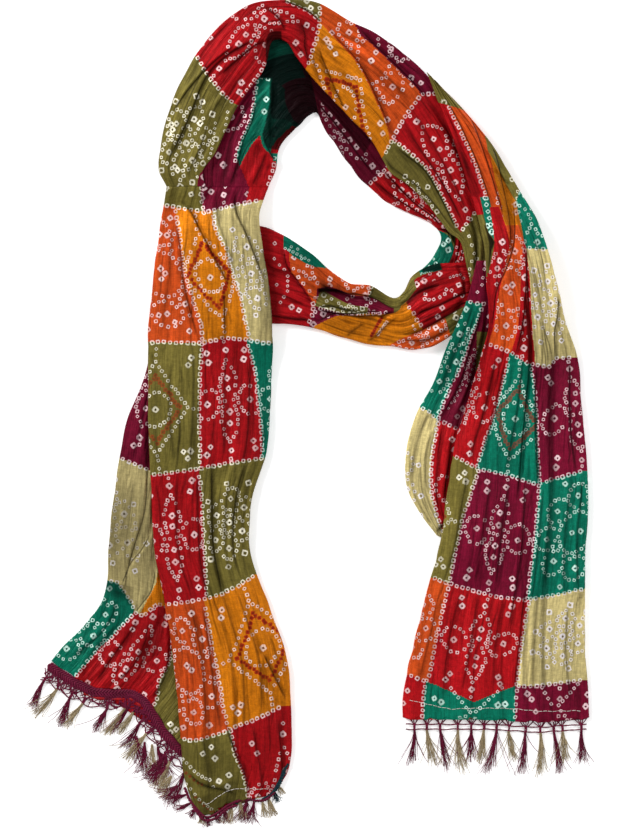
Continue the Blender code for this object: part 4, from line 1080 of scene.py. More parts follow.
# ---- the print of one stretch ----
CELL_EDGE = 0.002  # the print keeps this share of a field away from the next cell
LOOKS_BACK_AND_FORTH = 8
MOTIF_OVERHANG, STRETCH_OVERHANG = 0.02, 0.08  # how far past a field, or a stretch's edge, dots are kept
MOTIF_STRAY, BORDER_STRAY = 0.45, 0.25  # how far dots stray from their places
RING_TURN, KNOT_TURN, LONE_TURN, BORDER_TURN = 0.35, 0.15, 0.3, 0.16  # and how much they are turned
MOTIF_SIZES, LONE_SIZES, BORDER_SIZES = (0.86, 1.12), (0.85, 1.05), (0.84, 1.1)  # the least and the most
MOTIF_STRENGTHS, LONE_STRENGTHS = (0.5, 1.0), (0.6, 1.0)
FAR = 9.0  # where no dot is near
DOT_REACH = 1.9  # a face knows of a dot this many times its size away
DOT_COLUMNS = 7  # x, y, cos, sin, size, kind and strength
BORDER_STEPS = 40  # places on a border line for each of its points
BORDER_LOOK = 2.0  # a border dot turns with its line, as seen this far ahead and behind
BARE_REPEAT = 0.8  # cells across a stretch where the chart says nothing


def line_along(line, across):
    """How far along the stretch a row line lies, at some shares across."""
    if np.ndim(line) == 0:
        return np.full_like(across, line)
    return np.interp(across, line[:, 0], line[:, 1])


def line_across(line, along):
    """How far across the stretch a column line lies, at some shares along."""
    if np.ndim(line) == 0:
        return np.full_like(along, line)
    order = np.argsort(line[:, 1])
    return np.interp(along, line[order, 1], line[order, 0])


def share_between(value, start, end):
    """How far each value lies from start to end; below 0 where the two meet."""
    gap = end - start
    return np.divide(value - start, gap, out=np.full_like(gap, -1.0), where=gap != 0)


def field_shares(field, across, along):
    """How far each point lies from a field's left to its right line, and from its start to its end."""
    start, end = line_along(field.start, across), line_along(field.end, across)
    left, right = line_across(field.left, along), line_across(field.right, along)
    return share_between(across, left, right), share_between(along, start, end)


def inside(shares):
    s, t = shares
    return (s >= 0) & (s < 1) & (t >= 0) & (t < 1)


def field_numbers(chart, across, along):
    """Which field of the chart shows at each point; a later field lies over an earlier one."""
    numbers = np.full(across.shape, -1)
    for number, field in enumerate(chart):
        numbers[inside(field_shares(field, across, along))] = number
    return numbers


def cell_place(field, s, t):
    """The place on the flat cloth, in cells, for shares of a field."""
    s = np.clip(s, CELL_EDGE, 1 - CELL_EDGE)
    t = np.clip(t, CELL_EDGE, 1 - CELL_EDGE)
    column, row = int(field.cell[1]) - 1, ROWS.index(field.cell[0])
    return (column + field.across[0] + s * (field.across[1] - field.across[0]),
            row + field.along[0] + t * (field.along[1] - field.along[0]))


def field_point(field, s, t):
    """The shares of the stretch at a point of a field, found by going back and forth between its lines."""
    across, along = 0.5, 0.5
    for _ in range(LOOKS_BACK_AND_FORTH):
        start, end = (float(line_along(line, np.array(across))) for line in (field.start, field.end))
        along = start + t * (end - start)
        left, right = (float(line_across(line, np.array(along))) for line in (field.left, field.right))
        across = left + s * (right - left)
    return across, along


def field_size(field, lay):
    """The width and length of a field through its middle, in millimetres."""
    ends = [lay.at(*field_point(field, s, t)) for s, t in ((0, 0.5), (1, 0.5), (0.5, 0), (0.5, 1))]
    ends = np.array(ends, float)
    return np.hypot(*(ends[1] - ends[0])), np.hypot(*(ends[3] - ends[2]))


def dot_row(x, y, turn, size, kind, strength):
    return (x, y, math.cos(turn), math.sin(turn), size, kind, strength)


def motif_dots(field, lay, rng):
    """The dots of a field's motif, a row each.

    A field that is narrower than its cell is gathered a little, and the rest of its motif is folded under.
    """
    width, length = field_size(field, lay)
    middle_s, middle_t = sum(field.across) / 2, sum(field.along) / 2
    span_s, span_t = field.across[1] - field.across[0], field.along[1] - field.along[0]
    gathered_s = np.clip(width / (CELL_WIDTH * abs(span_s)), MOST_GATHERED, 1)
    gathered_t = np.clip(length / (CELL_LENGTH * abs(span_t)), MOST_GATHERED, 1)
    scale_s = math.copysign(gathered_s * CELL_WIDTH / width, span_s)
    scale_t = math.copysign(gathered_t * CELL_LENGTH / length, span_t)
    least, most = -MOTIF_OVERHANG, 1 + MOTIF_OVERHANG
    rows = []
    for dot in MOTIFS[field.cell]:
        s = 0.5 + (0.5 + dot.x / CELL_WIDTH - middle_s) * scale_s
        t = 0.5 + (0.5 + dot.y / CELL_LENGTH - middle_t) * scale_t
        if not (least < s < most and least < t < most):
            continue
        across, along = field_point(field, s, t)
        if not (-STRETCH_OVERHANG < across < 1 + STRETCH_OVERHANG and least < along < most):
            continue
        x, y = (float(v) for v in lay.at(across, along))
        x, y = x + rng.normal(0, MOTIF_STRAY), y + rng.normal(0, MOTIF_STRAY)
        others = (row for row in rows if row[5] != BEAD)
        if dot.kind != BEAD and any(math.hypot(x - row[0], y - row[1]) < dot.size + row[4] for row in others):
            continue
        turn = rng.normal(0, RING_TURN) if dot.turn is None else dot.turn + rng.normal(0, KNOT_TURN)
        size = dot.size * rng.uniform(*MOTIF_SIZES)
        rows.append(dot_row(x, y, turn, size, dot.kind, rng.uniform(*MOTIF_STRENGTHS)))
    return np.array(rows).reshape(-1, DOT_COLUMNS)


def lone_dots(spots, lay, rng):
    """Dots that lie alone: big knots, or small ones where a size is given, and perhaps a kind."""
    rows = []
    for across, along, *size_and_kind in spots:
        size, kind = (*size_and_kind, RING)[:2] if size_and_kind else (BIG_DOT, KNOT)
        x, y = (float(v) for v in lay.at(across, along))
        turn = ON_ITS_CORNER + rng.normal(0, LONE_TURN)
        rows.append(dot_row(x, y, turn, size * rng.uniform(*LONE_SIZES), kind, rng.uniform(*LONE_STRENGTHS)))
    return np.array(rows).reshape(-1, DOT_COLUMNS)


def border_dots(line, lay, rng):
    """Square dots along a border line."""
    share = np.linspace(0, len(line) - 1, BORDER_STEPS * len(line))
    across, along = (np.interp(share, np.arange(len(line)), line[:, i]) for i in range(2))
    x, y = lay.at(across, along)
    walked = walked_along(x, y)
    count = max(1, int(walked[-1] / BORDER_PITCH))
    rows = []
    for place in (np.arange(count) + 0.5) * walked[-1] / count:
        (here_x, here_y), ahead, behind = (
            (np.interp(at, walked, x), np.interp(at, walked, y))
            for at in (place, place + BORDER_LOOK, place - BORDER_LOOK))
        turn = math.atan2(ahead[1] - behind[1], ahead[0] - behind[0]) + rng.normal(0, BORDER_TURN)
        size = BORDER_DOT * rng.uniform(*BORDER_SIZES)
        here_x, here_y = here_x + rng.normal(0, BORDER_STRAY), here_y + rng.normal(0, BORDER_STRAY)
        rows.append(dot_row(here_x, here_y, turn, size, RING, rng.uniform(*LONE_STRENGTHS)))
    return np.array(rows)


def printed(stretch, lay, across, along):
    """For each face's corners: the place on the flat cloth, the place from the nearest dot, and its kind."""
    rng = np.random.default_rng(stretch.seed + DOT_SEED)
    numbers = field_numbers(stretch.chart, across.mean(1), along.mean(1))
    cloth, kind = np.zeros((*across.shape, 2)), np.zeros((*across.shape, 2))
    near = np.full((*across.shape, 2), FAR)
    x, y = lay.at(across, along)
    middle = np.stack([x.mean(1), y.mean(1)], axis=1)
    borders = np.vstack([border_dots(line, lay, rng) for line in stretch.borders])
    alone = lone_dots(stretch.knots, lay, rng)
    bare = numbers < 0
    cloth[bare, :, 0] = np.mod(across[bare] * BARE_REPEAT, 1)
    cloth[bare, :, 1] = np.mod(along[bare] * lay.length / CELL_LENGTH, 1)
    for number, field in enumerate(stretch.chart):
        faces = np.flatnonzero(numbers == number)
        s, t = field_shares(field, across[faces], along[faces])
        cloth[faces, :, 0], cloth[faces, :, 1] = cell_place(field, s, t)
        dots = np.vstack([motif_dots(field, lay, rng), borders, alone])
        gaps = middle[faces][:, None, :] - dots[None, :, :2]
        scaled = np.hypot(gaps[..., 0], gaps[..., 1]) / dots[None, :, 4]
        best = scaled.argmin(axis=1)
        is_near = scaled[np.arange(len(faces)), best] < DOT_REACH
        picked, dot = faces[is_near], dots[best[is_near]]
        cos, sin, size = dot[:, 2:3], dot[:, 3:4], dot[:, 4:5]
        dx, dy = (x[picked] - dot[:, 0:1]) / size, (y[picked] - dot[:, 1:2]) / size
        near[picked, :, 0] = dx * cos + dy * sin
        near[picked, :, 1] = dy * cos - dx * sin
        kind[picked, :, 0], kind[picked, :, 1] = dot[:, 5:6], dot[:, 6:7]
    cloth[..., 0] *= CELL_WIDTH * MM
    cloth[..., 1] *= CELL_LENGTH * MM
    return cloth, near, kind


def hollow_depth(hollow, across, along, lay):
    """How far inside a hollow each point lies, in millimetres, less than zero outside it."""
    width = lay.width(along)
    gaps = [
        (across - line_across(hollow.left, along)) * width,
        (line_across(hollow.right, along) - across) * width,
        (along - line_along(hollow.start, across)) * lay.length,
        (line_along(hollow.end, across) - along) * lay.length,
    ]
    return np.minimum.reduce(gaps)


def fold_shade(stretch, lay, across, along, deep):
    """How much painted shade each point gets, and how much brighter than its dye its painted gleam makes it.
    """
    total, painted_gleam = deep, np.zeros_like(deep)
    for hollow in stretch.hollows:
        depth = hollow_depth(hollow, across, along, lay)
        total = np.maximum(total, hollow.strength * fade(depth + HOLLOW_EDGE / 2, HOLLOW_EDGE))
    for shade in stretch.shades:
        off_across, off_along = across - shade.across, along - shade.along
        cover = np.exp(-((off_across / shade.across_size) ** 2 + (off_along / shade.along_size) ** 2))
        total = np.maximum(total, shade.strength * cover)
        painted_gleam = np.maximum(painted_gleam, -shade.strength * cover)
    return np.clip(total, 0, 1), painted_gleam


# ---- making meshes ----
def mesh_object(name, points, faces, material):
    """A smooth mesh of one material, in the scene."""
    mesh = bpy.data.meshes.new(name)
    mesh.from_pydata(points, [], faces)
    mesh.materials.append(material)
    thing = bpy.data.objects.new(name, mesh)
    bpy.context.scene.collection.objects.link(thing)
    for polygon in mesh.polygons:
        polygon.use_smooth = True
    return thing


def shell_quads(rows, count):
    """The faces between rings of points, each ring joined to the next."""
    i, j = np.meshgrid(np.arange(rows - 1), np.arange(count), indexing="ij")
    i, j = i.ravel(), j.ravel()
    after = (j + 1) % count
    return np.stack([i * count + j, i * count + after, (i + 1) * count + after, (i + 1) * count + j], axis=1)


def build_stretch(stretch, material, seam):
    """One stretch's shell with its print, its painted shade and gleam, and where it lies."""
    lay = Lay(stretch)
    rings, deep = stretch_form(stretch, lay, seam)
    rows, count = rings.shape[:2]
    points = (rings[..., :3] * MM).reshape(-1, 3)
    quads = shell_quads(rows, count)
    caps = [list(range(count))[::-1], list(range((rows - 1) * count, rows * count))]
    thing = mesh_object(stretch.name + "_cloth", points.tolist(), quads.tolist() + caps, material)
    mesh = thing.data
    ring_across, ring_along = rings[..., 3], shares_along(rows, count)
    across, along = (shares.reshape(-1)[quads] for shares in (ring_across, ring_along))
    cloth, near, kind = printed(stretch, lay, across, along)
    start_middle = (stretch.sections[0].left_x + stretch.sections[0].right_x) / 2
    laid = np.stack([(across - 0.5) * lay.width(along) + start_middle, along * lay.length], axis=-1) * MM
    last = (rows - 2) * count
    for name, values in (("Lay", laid), ("Cloth", cloth), ("Dot", near), ("Kind", kind)):
        layer = mesh.uv_layers.new(name=name)
        data = np.vstack([values.reshape(-1, 2), values[:count, 0][::-1], values[last:last + count, 3]])
        layer.data.foreach_set("uv", data.astype(np.float32).ravel())
    shade, painted_gleam = fold_shade(stretch, lay, ring_across, ring_along, deep)
    for name, values in (("Shade", shade), ("Gleam", painted_gleam)):
        attribute = mesh.attributes.new(name, "FLOAT", "POINT")
        attribute.data.foreach_set("value", values.astype(np.float32).ravel())
    for cap in list(mesh.polygons)[-2:]:
        cap.use_smooth = False
    mesh.validate()
    return thing, lay


# ---- materials ----
CELL_COUNT = float(len(CELL_COLOURS))
COLUMN_COUNT, ROW_COUNT = 4.0, 3.0
DOT_RIM, DOT_MIDDLE = (0.74, 0.99), (0.32, 0.56)  # where a dot ends and its dyed middle begins
KNOT_MIDDLE = 0.13  # a big knot's middle is this much smaller
SQUARISH = 4.0  # the power that makes a dot square with round corners
RAGGED = 0.62  # how uneven a dot's edge is
PALE_DYE = (0.26, 0.40)  # on so bright a dye the dots are tinted, not paled
TINTED_DOT = (0.92, 0.86, 0.88)
PALED_COLOUR, PALED_BRIGHTNESS = 0.30, 0.92  # what tying leaves of a dye
MIDDLE_TINT, PAINTED_SHADE_TINT = (0.22, 0.18, 0.26), (0.016, 0.013, 0.020)  # multiplied with the dye: in the middles of dots, and as painted shade
BEAD_RIM, BEAD_MIDDLE = (0.36, 0.010, 0.006), (0.15, 0.004, 0.005)
MIDST = (0.3, 0.7)  # the part of a noise that shows
COMPARE_WIDTH = 0.4  # two kinds of dot are the same when they differ by less


Grain = namedtuple("Grain", "across along detail roughness")
SLUBS, SLUB_GLOSS = Grain(900.0, 60.0, 3.0, 0.6), (0.3, 0.8, 0.40, 0.58)  # the noise, and roughness from it
BLOTCHES, BLOTCH_TONE = (260.0, 4.0, 0.7), (0.84, 1.12)  # the noise, and the least and most brightness
STREAKS, STREAK_TONE = Grain(700.0, 45.0, 3.0, 0.65), (0.82, 1.14)
RIBS, RIB_TONE = Grain(160.0, 1500.0, 2.0, 0.6), (0.88, 1.1)
WIDE_STREAKS, WIDE_TONE = Grain(75.0, 10.0, 2.0, 0.5), (0.80, 1.14)
Bump = namedtuple("Bump", "grain sharp strength distance")  # the distance in metres
BUMPS = table(Bump, [
    (Grain(150.0, 11.0, 2.0, 0.5), True, 0.8, 0.0048),
    (Grain(420.0, 30.0, 3.0, 0.6), True, 0.7, 0.0017),
    (Grain(2600.0, 300.0, 2.0, 0.6), False, 0.35, 0.00022),
    (Grain(220.0, 2400.0, 2.0, 0.5), False, 0.3, 0.00020),
])
UNLIT = (0.35, 0.75)  # dots go out over this range of painted shade
PALE_STRENGTH = 0.85  # dots on pale dyes are at least this strong
MIDDLE_DEPTH, KNOT_DEPTH = (0.40, 0.50), 0.45  # how dark the middles of dots are, and more for knots
BEAD_LIGHT = (0.10, 0.24, 0.50, 0.92)  # from the dye's brightness to the bead's strength
TWIST_TONE, WORN, WORN_TINT = (0.35, 0.7), (0.35, 0.75, 0.0, 0.5), (0.45, 0.42, 0.4)  # of a thread


class Nodes:
    """A short hand for building one material's node tree."""

    def __init__(self, name):
        self.material = bpy.data.materials.new(name)
        self.material.use_nodes = True
        self.tree = self.material.node_tree
        self.shader = self.tree.nodes["Principled BSDF"]

    def add(self, kind, **settings):
        node = self.tree.nodes.new(kind)
        for key, value in settings.items():
            setattr(node, key, value)
        return node

    def link(self, source, target):
        self.tree.links.new(source, target)

    def math(self, operation, a, b=None, clamp=False):
        node = self.add("ShaderNodeMath", operation=operation, use_clamp=clamp)
        node.inputs[2].default_value = COMPARE_WIDTH
        for place, value in enumerate((a, b)):
            if isinstance(value, (int, float)):
                node.inputs[place].default_value = value
            elif value is not None:
                self.link(value, node.inputs[place])
        return node.outputs[0]

    def product(self, first, *others):
        for other in others:
            first = self.math("MULTIPLY", first, other)
        return first

    def remap(self, value, low, high, to_low=0.0, to_high=1.0):
        node = self.add("ShaderNodeMapRange", interpolation_type="SMOOTHSTEP")
        self.link(value, node.inputs["Value"])
        for key, number in (("From Min", low), ("From Max", high), ("To Min", to_low), ("To Max", to_high)):
            node.inputs[key].default_value = number
        return node.outputs["Result"]

    def mix(self, share, a, b, blend="MIX"):
        node = self.add("ShaderNodeMix", data_type="RGBA", blend_type=blend)
        node.clamp_factor = True
        for socket, value in ((node.inputs[0], share), (node.inputs[6], a), (node.inputs[7], b)):
            if isinstance(value, (int, float)):
                socket.default_value = value
            elif isinstance(value, tuple):
                socket.default_value = (*value, 1.0)
            else:
                self.link(value, socket)
        return node.outputs[2]

    def noise(self, vector, scale, detail=3.0, roughness=0.55):
        node = self.add("ShaderNodeTexNoise")
        node.inputs["Scale"].default_value = scale
        node.inputs["Detail"].default_value = detail
        node.inputs["Roughness"].default_value = roughness
        self.link(vector, node.inputs["Vector"])
        return node.outputs["Fac"]

    def stretched(self, vector, scale):
        node = self.add("ShaderNodeMapping")
        node.inputs["Scale"].default_value = scale
        self.link(vector, node.inputs["Vector"])
        return node.outputs["Vector"]

    def grain(self, vector, across, along, detail, roughness):
        """Noise drawn out along the cloth, or across it."""
        return self.noise(self.stretched(vector, (across, along, 1.0)), 1.0, detail, roughness)

    def ridges(self, noise):
        """Sharp folds where a noise passes through its middle."""
        return self.math("ABSOLUTE", self.math("SUBTRACT", noise, 0.5))

    def attribute(self, name):
        return self.add("ShaderNodeAttribute", attribute_name=name).outputs["Fac"]

    def finish(self, **values):
        """Set plain values of the shader, named as its sockets are with _ for a space."""
        for name, value in values.items():
            self.shader.inputs[name.replace("_", " ")].default_value = value
        return self.material

    def uv(self, name):
        return self.add("ShaderNodeUVMap", uv_map=name).outputs["UV"]

    def split(self, vector):
        node = self.add("ShaderNodeSeparateXYZ")
        self.link(vector, node.inputs[0])
        return node.outputs["X"], node.outputs["Y"]

    def bump(self, height, strength, distance, normal=None):
        node = self.add("ShaderNodeBump")
        node.inputs["Strength"].default_value = strength
        node.inputs["Distance"].default_value = distance
        self.link(height, node.inputs["Height"])
        if normal is not None:
            self.link(normal, node.inputs["Normal"])
        return node.outputs["Normal"]


def cell_colour(nodes):
    """The dye of each printed cell, from the place on the flat cloth."""
    x, y = nodes.split(nodes.uv("Cloth"))
    column, row = (
        nodes.math("FLOOR", nodes.math("FLOORED_MODULO", nodes.math("DIVIDE", place, size * MM), repeat))
        for place, size, repeat in ((x, CELL_WIDTH, COLUMN_COUNT), (y, CELL_LENGTH, ROW_COUNT)))
    number = nodes.math("ADD", nodes.math("MULTIPLY", row, COLUMN_COUNT), column)
    place = nodes.math("DIVIDE", nodes.math("ADD", number, 0.5), CELL_COUNT)
    ramp = nodes.add("ShaderNodeValToRGB")
    ramp.color_ramp.interpolation = "CONSTANT"
    stops = ramp.color_ramp.elements
    for index, colour in enumerate(CELL_COLOURS):
        stop = stops[0] if index == 0 else stops.new(index / CELL_COUNT)
        stop.position = index / CELL_COUNT
        stop.color = (*colour, 1.0)
    stops.remove(stops[len(stops) - 1])
    nodes.link(place, ramp.inputs[0])
    return ramp.outputs[0]


def printed_silk():
    """Crinkled art silk: dyed cells, tied dots with dark middles, lengthwise slubs, a soft gloss and painted
    shade.
    """
    nodes = Nodes("printed_silk")
    lay = nodes.uv("Lay")
    dye = woven_tone_and_painted_gleam(nodes, lay, cell_colour(nodes))
    kind, strength = nodes.split(nodes.uv("Kind"))
    distance = dot_distance(nodes, lay)
    whole = nodes.remap(distance, *DOT_RIM, 1.0, 0.0)
    is_knot = nodes.math("GREATER_THAN", kind, (BEAD + KNOT) / 2)
    hole = nodes.math("ADD", distance, nodes.math("MULTIPLY", is_knot, KNOT_MIDDLE))
    middle = nodes.remap(hole, *DOT_MIDDLE, 1.0, 0.0)
    is_bead = nodes.math("COMPARE", kind, float(BEAD))
    is_tied = nodes.math("SUBTRACT", 1.0, is_bead)
    brightness = nodes.add("ShaderNodeRGBToBW")
    nodes.link(dye, brightness.inputs[0])
    paleness = nodes.remap(brightness.outputs[0], *PALE_DYE)
    dot_colour = nodes.mix(paleness, paled(nodes, dye), TINTED_DOT)
    shade = nodes.attribute("Shade")
    lit = nodes.remap(shade, *UNLIT, 1.0, 0.0)
    pale_strength = nodes.math("MULTIPLY", paleness, PALE_STRENGTH)
    resist = nodes.math("SUBTRACT", nodes.math("MULTIPLY", whole, is_tied), middle, clamp=True)
    resist = nodes.product(resist, nodes.math("MAXIMUM", strength, pale_strength), lit)
    depth = nodes.remap(paleness, 0.0, 1.0, *MIDDLE_DEPTH)
    depth = nodes.math("ADD", depth, nodes.math("MULTIPLY", is_knot, KNOT_DEPTH))
    inner = nodes.product(middle, is_tied, depth)
    colour = nodes.mix(inner, dye, nodes.mix(1.0, dye, MIDDLE_TINT, "MULTIPLY"))
    colour = nodes.mix(resist, colour, dot_colour)
    bead = nodes.math("MULTIPLY", whole, is_bead)
    bead_colour = nodes.mix(middle, BEAD_RIM, BEAD_MIDDLE)
    bright = nodes.remap(brightness.outputs[0], *BEAD_LIGHT)
    colour = nodes.mix(nodes.math("MULTIPLY", bead, bright), colour, bead_colour)
    # painted shade: the dye darkened toward near black where the Shade attribute is high
    colour = nodes.mix(shade, colour, nodes.mix(1.0, colour, PAINTED_SHADE_TINT, "MULTIPLY"))
    nodes.link(colour, nodes.shader.inputs["Base Color"])
    nodes.link(cloth_bump(nodes, lay), nodes.shader.inputs["Normal"])
    slubs = nodes.grain(lay, *SLUBS)
    nodes.link(nodes.remap(slubs, *SLUB_GLOSS), nodes.shader.inputs["Roughness"])
    return nodes.finish(Specular_IOR_Level=0.05, Metallic=0.2)


def paled(nodes, dye):
    """What is left of a dye where it was tied: the same hue, pale and bright."""
    parts = nodes.add("ShaderNodeSeparateColor", mode="HSV")
    nodes.link(dye, parts.inputs[0])
    whole = nodes.add("ShaderNodeCombineColor", mode="HSV")
    nodes.link(parts.outputs[0], whole.inputs[0])
    nodes.link(nodes.math("MULTIPLY", parts.outputs[1], PALED_COLOUR), whole.inputs[1])
    whole.inputs[2].default_value = PALED_BRIGHTNESS
    return whole.outputs[0]


def woven_tone_and_painted_gleam(nodes, lay, dye):
    """The dye made uneven: blotches, streaks along the crinkles, fine ribs across them, wide streaks, and
    painted gleam.
    """
    blotches = nodes.remap(nodes.noise(lay, *BLOTCHES), *MIDST, *BLOTCH_TONE)
    streaks = nodes.remap(nodes.grain(lay, *STREAKS), *MIDST, *STREAK_TONE)
    ribs = nodes.remap(nodes.grain(lay, *RIBS), *MIDST, *RIB_TONE)
    wide = nodes.remap(nodes.grain(lay, *WIDE_STREAKS), *MIDST, *WIDE_TONE)
    value = nodes.product(nodes.product(blotches, streaks), nodes.product(ribs, wide))
    # painted gleam: the dye brightened by the gleam attribute
    value = nodes.product(value, nodes.math("ADD", nodes.attribute("Gleam"), 1.0))
    tone = nodes.add("ShaderNodeHueSaturation")
    nodes.link(value, tone.inputs["Value"])
    nodes.link(dye, tone.inputs["Color"])
    return tone.outputs[0]


def dot_distance(nodes, lay):
    """How far from the middle of the nearest dot, with 1 on its squarish edge."""
    offsets = nodes.split(nodes.uv("Dot"))
    powers = [nodes.math("POWER", nodes.math("ABSOLUTE", offset), SQUARISH) for offset in offsets]
    distance = nodes.math("POWER", nodes.math("ADD", *powers), 1 / SQUARISH)
    ragged = nodes.math("MULTIPLY", nodes.math("SUBTRACT", nodes.noise(lay, 480.0, 2.0), 0.5), RAGGED)
    return nodes.math("ADD", distance, ragged)


def cloth_bump(nodes, lay):
    """Sharp little creases that run along the cloth, over its slubs and ribs."""
    heights = []
    for bump in BUMPS:
        noise = nodes.grain(lay, *bump.grain)
        heights.append(nodes.ridges(noise) if bump.sharp else noise)
    normal = None
    for height, bump in zip(heights, BUMPS):
        normal = nodes.bump(height, bump.strength, bump.distance, normal)
    return normal


def thread(name, colour, light):
    """Twisted thread: two tones along its twist, slightly glossy."""
    nodes = Nodes(name)
    place = nodes.add("ShaderNodeTexCoord").outputs["Object"]
    fine = nodes.noise(place, 1500.0, 2.0)
    wide = nodes.noise(place, 160.0, 2.0)
    tone = nodes.mix(nodes.remap(fine, *TWIST_TONE), colour, light)
    worn = nodes.remap(wide, *WORN)
    tone = nodes.mix(worn, tone, nodes.mix(1.0, tone, WORN_TINT, "MULTIPLY"))
    nodes.link(tone, nodes.shader.inputs["Base Color"])
    nodes.link(nodes.bump(fine, 0.5, 0.0002), nodes.shader.inputs["Normal"])
    return nodes.finish(Roughness=0.5, Specular_IOR_Level=0.12)


def plain_floor():
    return Nodes("pale_floor").finish(
        Base_Color=(0.93, 0.93, 0.93, 1.0), Roughness=0.9,
        Emission_Color=(1.0, 1.0, 1.0, 1.0), Emission_Strength=0.35)


# ---- swept threads, by Geometry Nodes ----
def thread_tree():
    """A node group that sweeps a round thread along every curve, with its own radius at each point."""
    tree = bpy.data.node_groups.new("swept_thread", "GeometryNodeTree")
    for name, way, kind in (
            ("Geometry", "INPUT", "Geometry"), ("Radius", "INPUT", "Float"), ("Sides", "INPUT", "Int"),
            ("Material", "INPUT", "Material"), ("Geometry", "OUTPUT", "Geometry")):
        tree.interface.new_socket(name, in_out=way, socket_type="NodeSocket" + kind)
    start, end = tree.nodes.new("NodeGroupInput"), tree.nodes.new("NodeGroupOutput")
    circle, sweep, own_radius, smooth, realize, finish = (
        tree.nodes.new("GeometryNode" + kind)
        for kind in ("CurvePrimitiveCircle", "CurveToMesh", "InputRadius",
                     "SetShadeSmooth", "RealizeInstances", "SetMaterial"))
    sweep.inputs["Fill Caps"].default_value = True
    for source, target in (
            (own_radius.outputs[0], sweep.inputs["Scale"]),
            (start.outputs["Radius"], circle.inputs["Radius"]),
            (start.outputs["Sides"], circle.inputs["Resolution"]),
            (start.outputs["Geometry"], sweep.inputs["Curve"]),
            (circle.outputs[0], sweep.inputs["Profile Curve"]),
            (sweep.outputs[0], smooth.inputs["Geometry"]),
            (smooth.outputs[0], realize.inputs[0]),
            (realize.outputs[0], finish.inputs["Geometry"]),
            (start.outputs["Material"], finish.inputs["Material"]),
            (finish.outputs[0], end.inputs[0])):
        tree.links.new(source, target)
    return tree


def swept(name, paths, radius, sides, tree, material):
    """Sweep a thread along each path; a path is a list of (x, y, z, share of the radius), in millimetres."""
    curve = bpy.data.curves.new(name + "_paths", "CURVE")
    curve.dimensions = "3D"
    for path in paths:
        spline = curve.splines.new("POLY")
        spline.points.add(len(path) - 1)
        for point, (x, y, z, share) in zip(spline.points, path):
            point.co = (x * MM, y * MM, z * MM, 1.0)
            point.radius = share
    source = bpy.data.objects.new(name + "_source", curve)
    bpy.context.scene.collection.objects.link(source)
    modifier = source.modifiers.new("sweep", "NODES")
    modifier.node_group = tree
    sockets = {item.name: item.identifier for item in tree.interface.items_tree if item.in_out == "INPUT"}
    modifier[sockets["Radius"]] = radius * MM
    modifier[sockets["Sides"]] = sides
    modifier[sockets["Material"]] = material
    evaluated = source.evaluated_get(bpy.context.evaluated_depsgraph_get())
    mesh = bpy.data.meshes.new_from_object(evaluated)
    mesh.name = name
    thing = bpy.data.objects.new(name, mesh)
    bpy.context.scene.collection.objects.link(thing)
    bpy.data.objects.remove(source)
    return thing


# ---- hems: nets, tassels, braid and stitches ----
Hem = namedtuple("Hem", "node stretch across_from across_to braid cords tassels reach lean_x lean_y seed")
HEMS = table(Hem, [
    ("right_end_fringe", "right_end_front", 0.99, 0.01, 0.0, (5.0, 9.2), 13, 33.0, 0.03, -1.0, 31),
    ("left_under_fringe", "left_end_under", 0.97, 0.0, 8.0, (12.5, 16.5), 13, 27.0, -0.50, -0.86, 37),
])
Tuft = namedtuple("Tuft", "x y lean_x lean_y reach threads colour")
LEFT_FRONT_TUFTS = table(Tuft, [
    (-105, -324, -1.0, -.45, 17, 22, "maroon"), (-101, -331, -.9, -.5, 15, 24, "maroon"),
    (-97, -336, -.6, -.8, 9, 20, "maroon"), (-91, -341, -.3, -1.0, 8, 22, "beige"),
    (-87, -343, .3, -1.0, 8, 18, "maroon"), (-80, -341, .5, -1.0, 8, 18, "maroon"),
    (-73, -336, .2, -1.0, 12, 20, "maroon"), (-66, -332, -.1, -1.0, 17, 26, "beige"),
    (-59, -330, .1, -1.0, 15, 26, "beige"), (-53, -329, -.1, -1.0, 19, 34, "maroon"),
    (-47, -330, -.2, -1.0, 19, 30, "maroon"), (-40, -330, .1, -1.0, 13, 22, "beige"),
    (-35, -327, .2, -1.0, 16, 24, "beige"), (-30, -321, .3, -.9, 10, 18, "navy"),
    (-26, -317, .3, -.8, 8, 14, "beige"), (-112, -316, -.9, -.7, 20, 26, "maroon"),
    (-117, -308, -.7, -.8, 19, 24, "beige"), (-121, -300, -.8, -.7, 20, 26, "maroon"),
    (-126, -296, -.4, -1.0, 21, 26, "maroon"),
])
LEFT_UNDER_TUFTS = table(Tuft, [  # bunched where the front end lies over the hem
    (-147, -274, .1, -1.0, 25, 26, "maroon"), (-140, -279, -.1, -1.0, 27, 28, "maroon"),
    (-134, -281, .1, -1.0, 25, 24, "beige"), (-129, -283, .0, -1.0, 26, 30, "maroon"),
    (-123, -287, .2, -1.0, 22, 28, "maroon"),
])
LEFT_FRONT_CORDS = [
    ("maroon", ((-106, -318), (-102, -328), (-96, -336), (-88, -343), (-79, -340), (-69, -333), (-60, -329),
                (-50, -328))),
    ("maroon", ((-99, -334), (-90, -345), (-80, -344), (-70, -336), (-62, -333))),
    ("navy", ((-40, -328), (-32, -323), (-27, -315), (-23, -306), (-18, -298))),
    ("navy", ((-33, -325), (-26, -316), (-21, -305))),
    ("maroon", ((-62, -330), (-54, -327), (-46, -329), (-37, -328), (-30, -322))),
]
STITCH_LINES = [
    ("right_end_front", edge((.03, .974), (.25, .986), (.62, .982), (.98, .987))),
    ("left_end_front", edge((.16, .985), (.5, .979), (.95, .987))),
]
SCALLOPS, SCALLOP_STEPS = 13, 8  # a net hangs from the hem's line as it is on the average over a scallop
HEM_LOOK = 0.04  # the hem's direction is seen this share of its length to each side
CORD_HEIGHT = 1.3  # the middle of the net above the floor
CORD_LIFTS = (0.5, 0.2)  # of each cord over that
CORD_STEPS = 12  # of a cord, from tassel to tassel
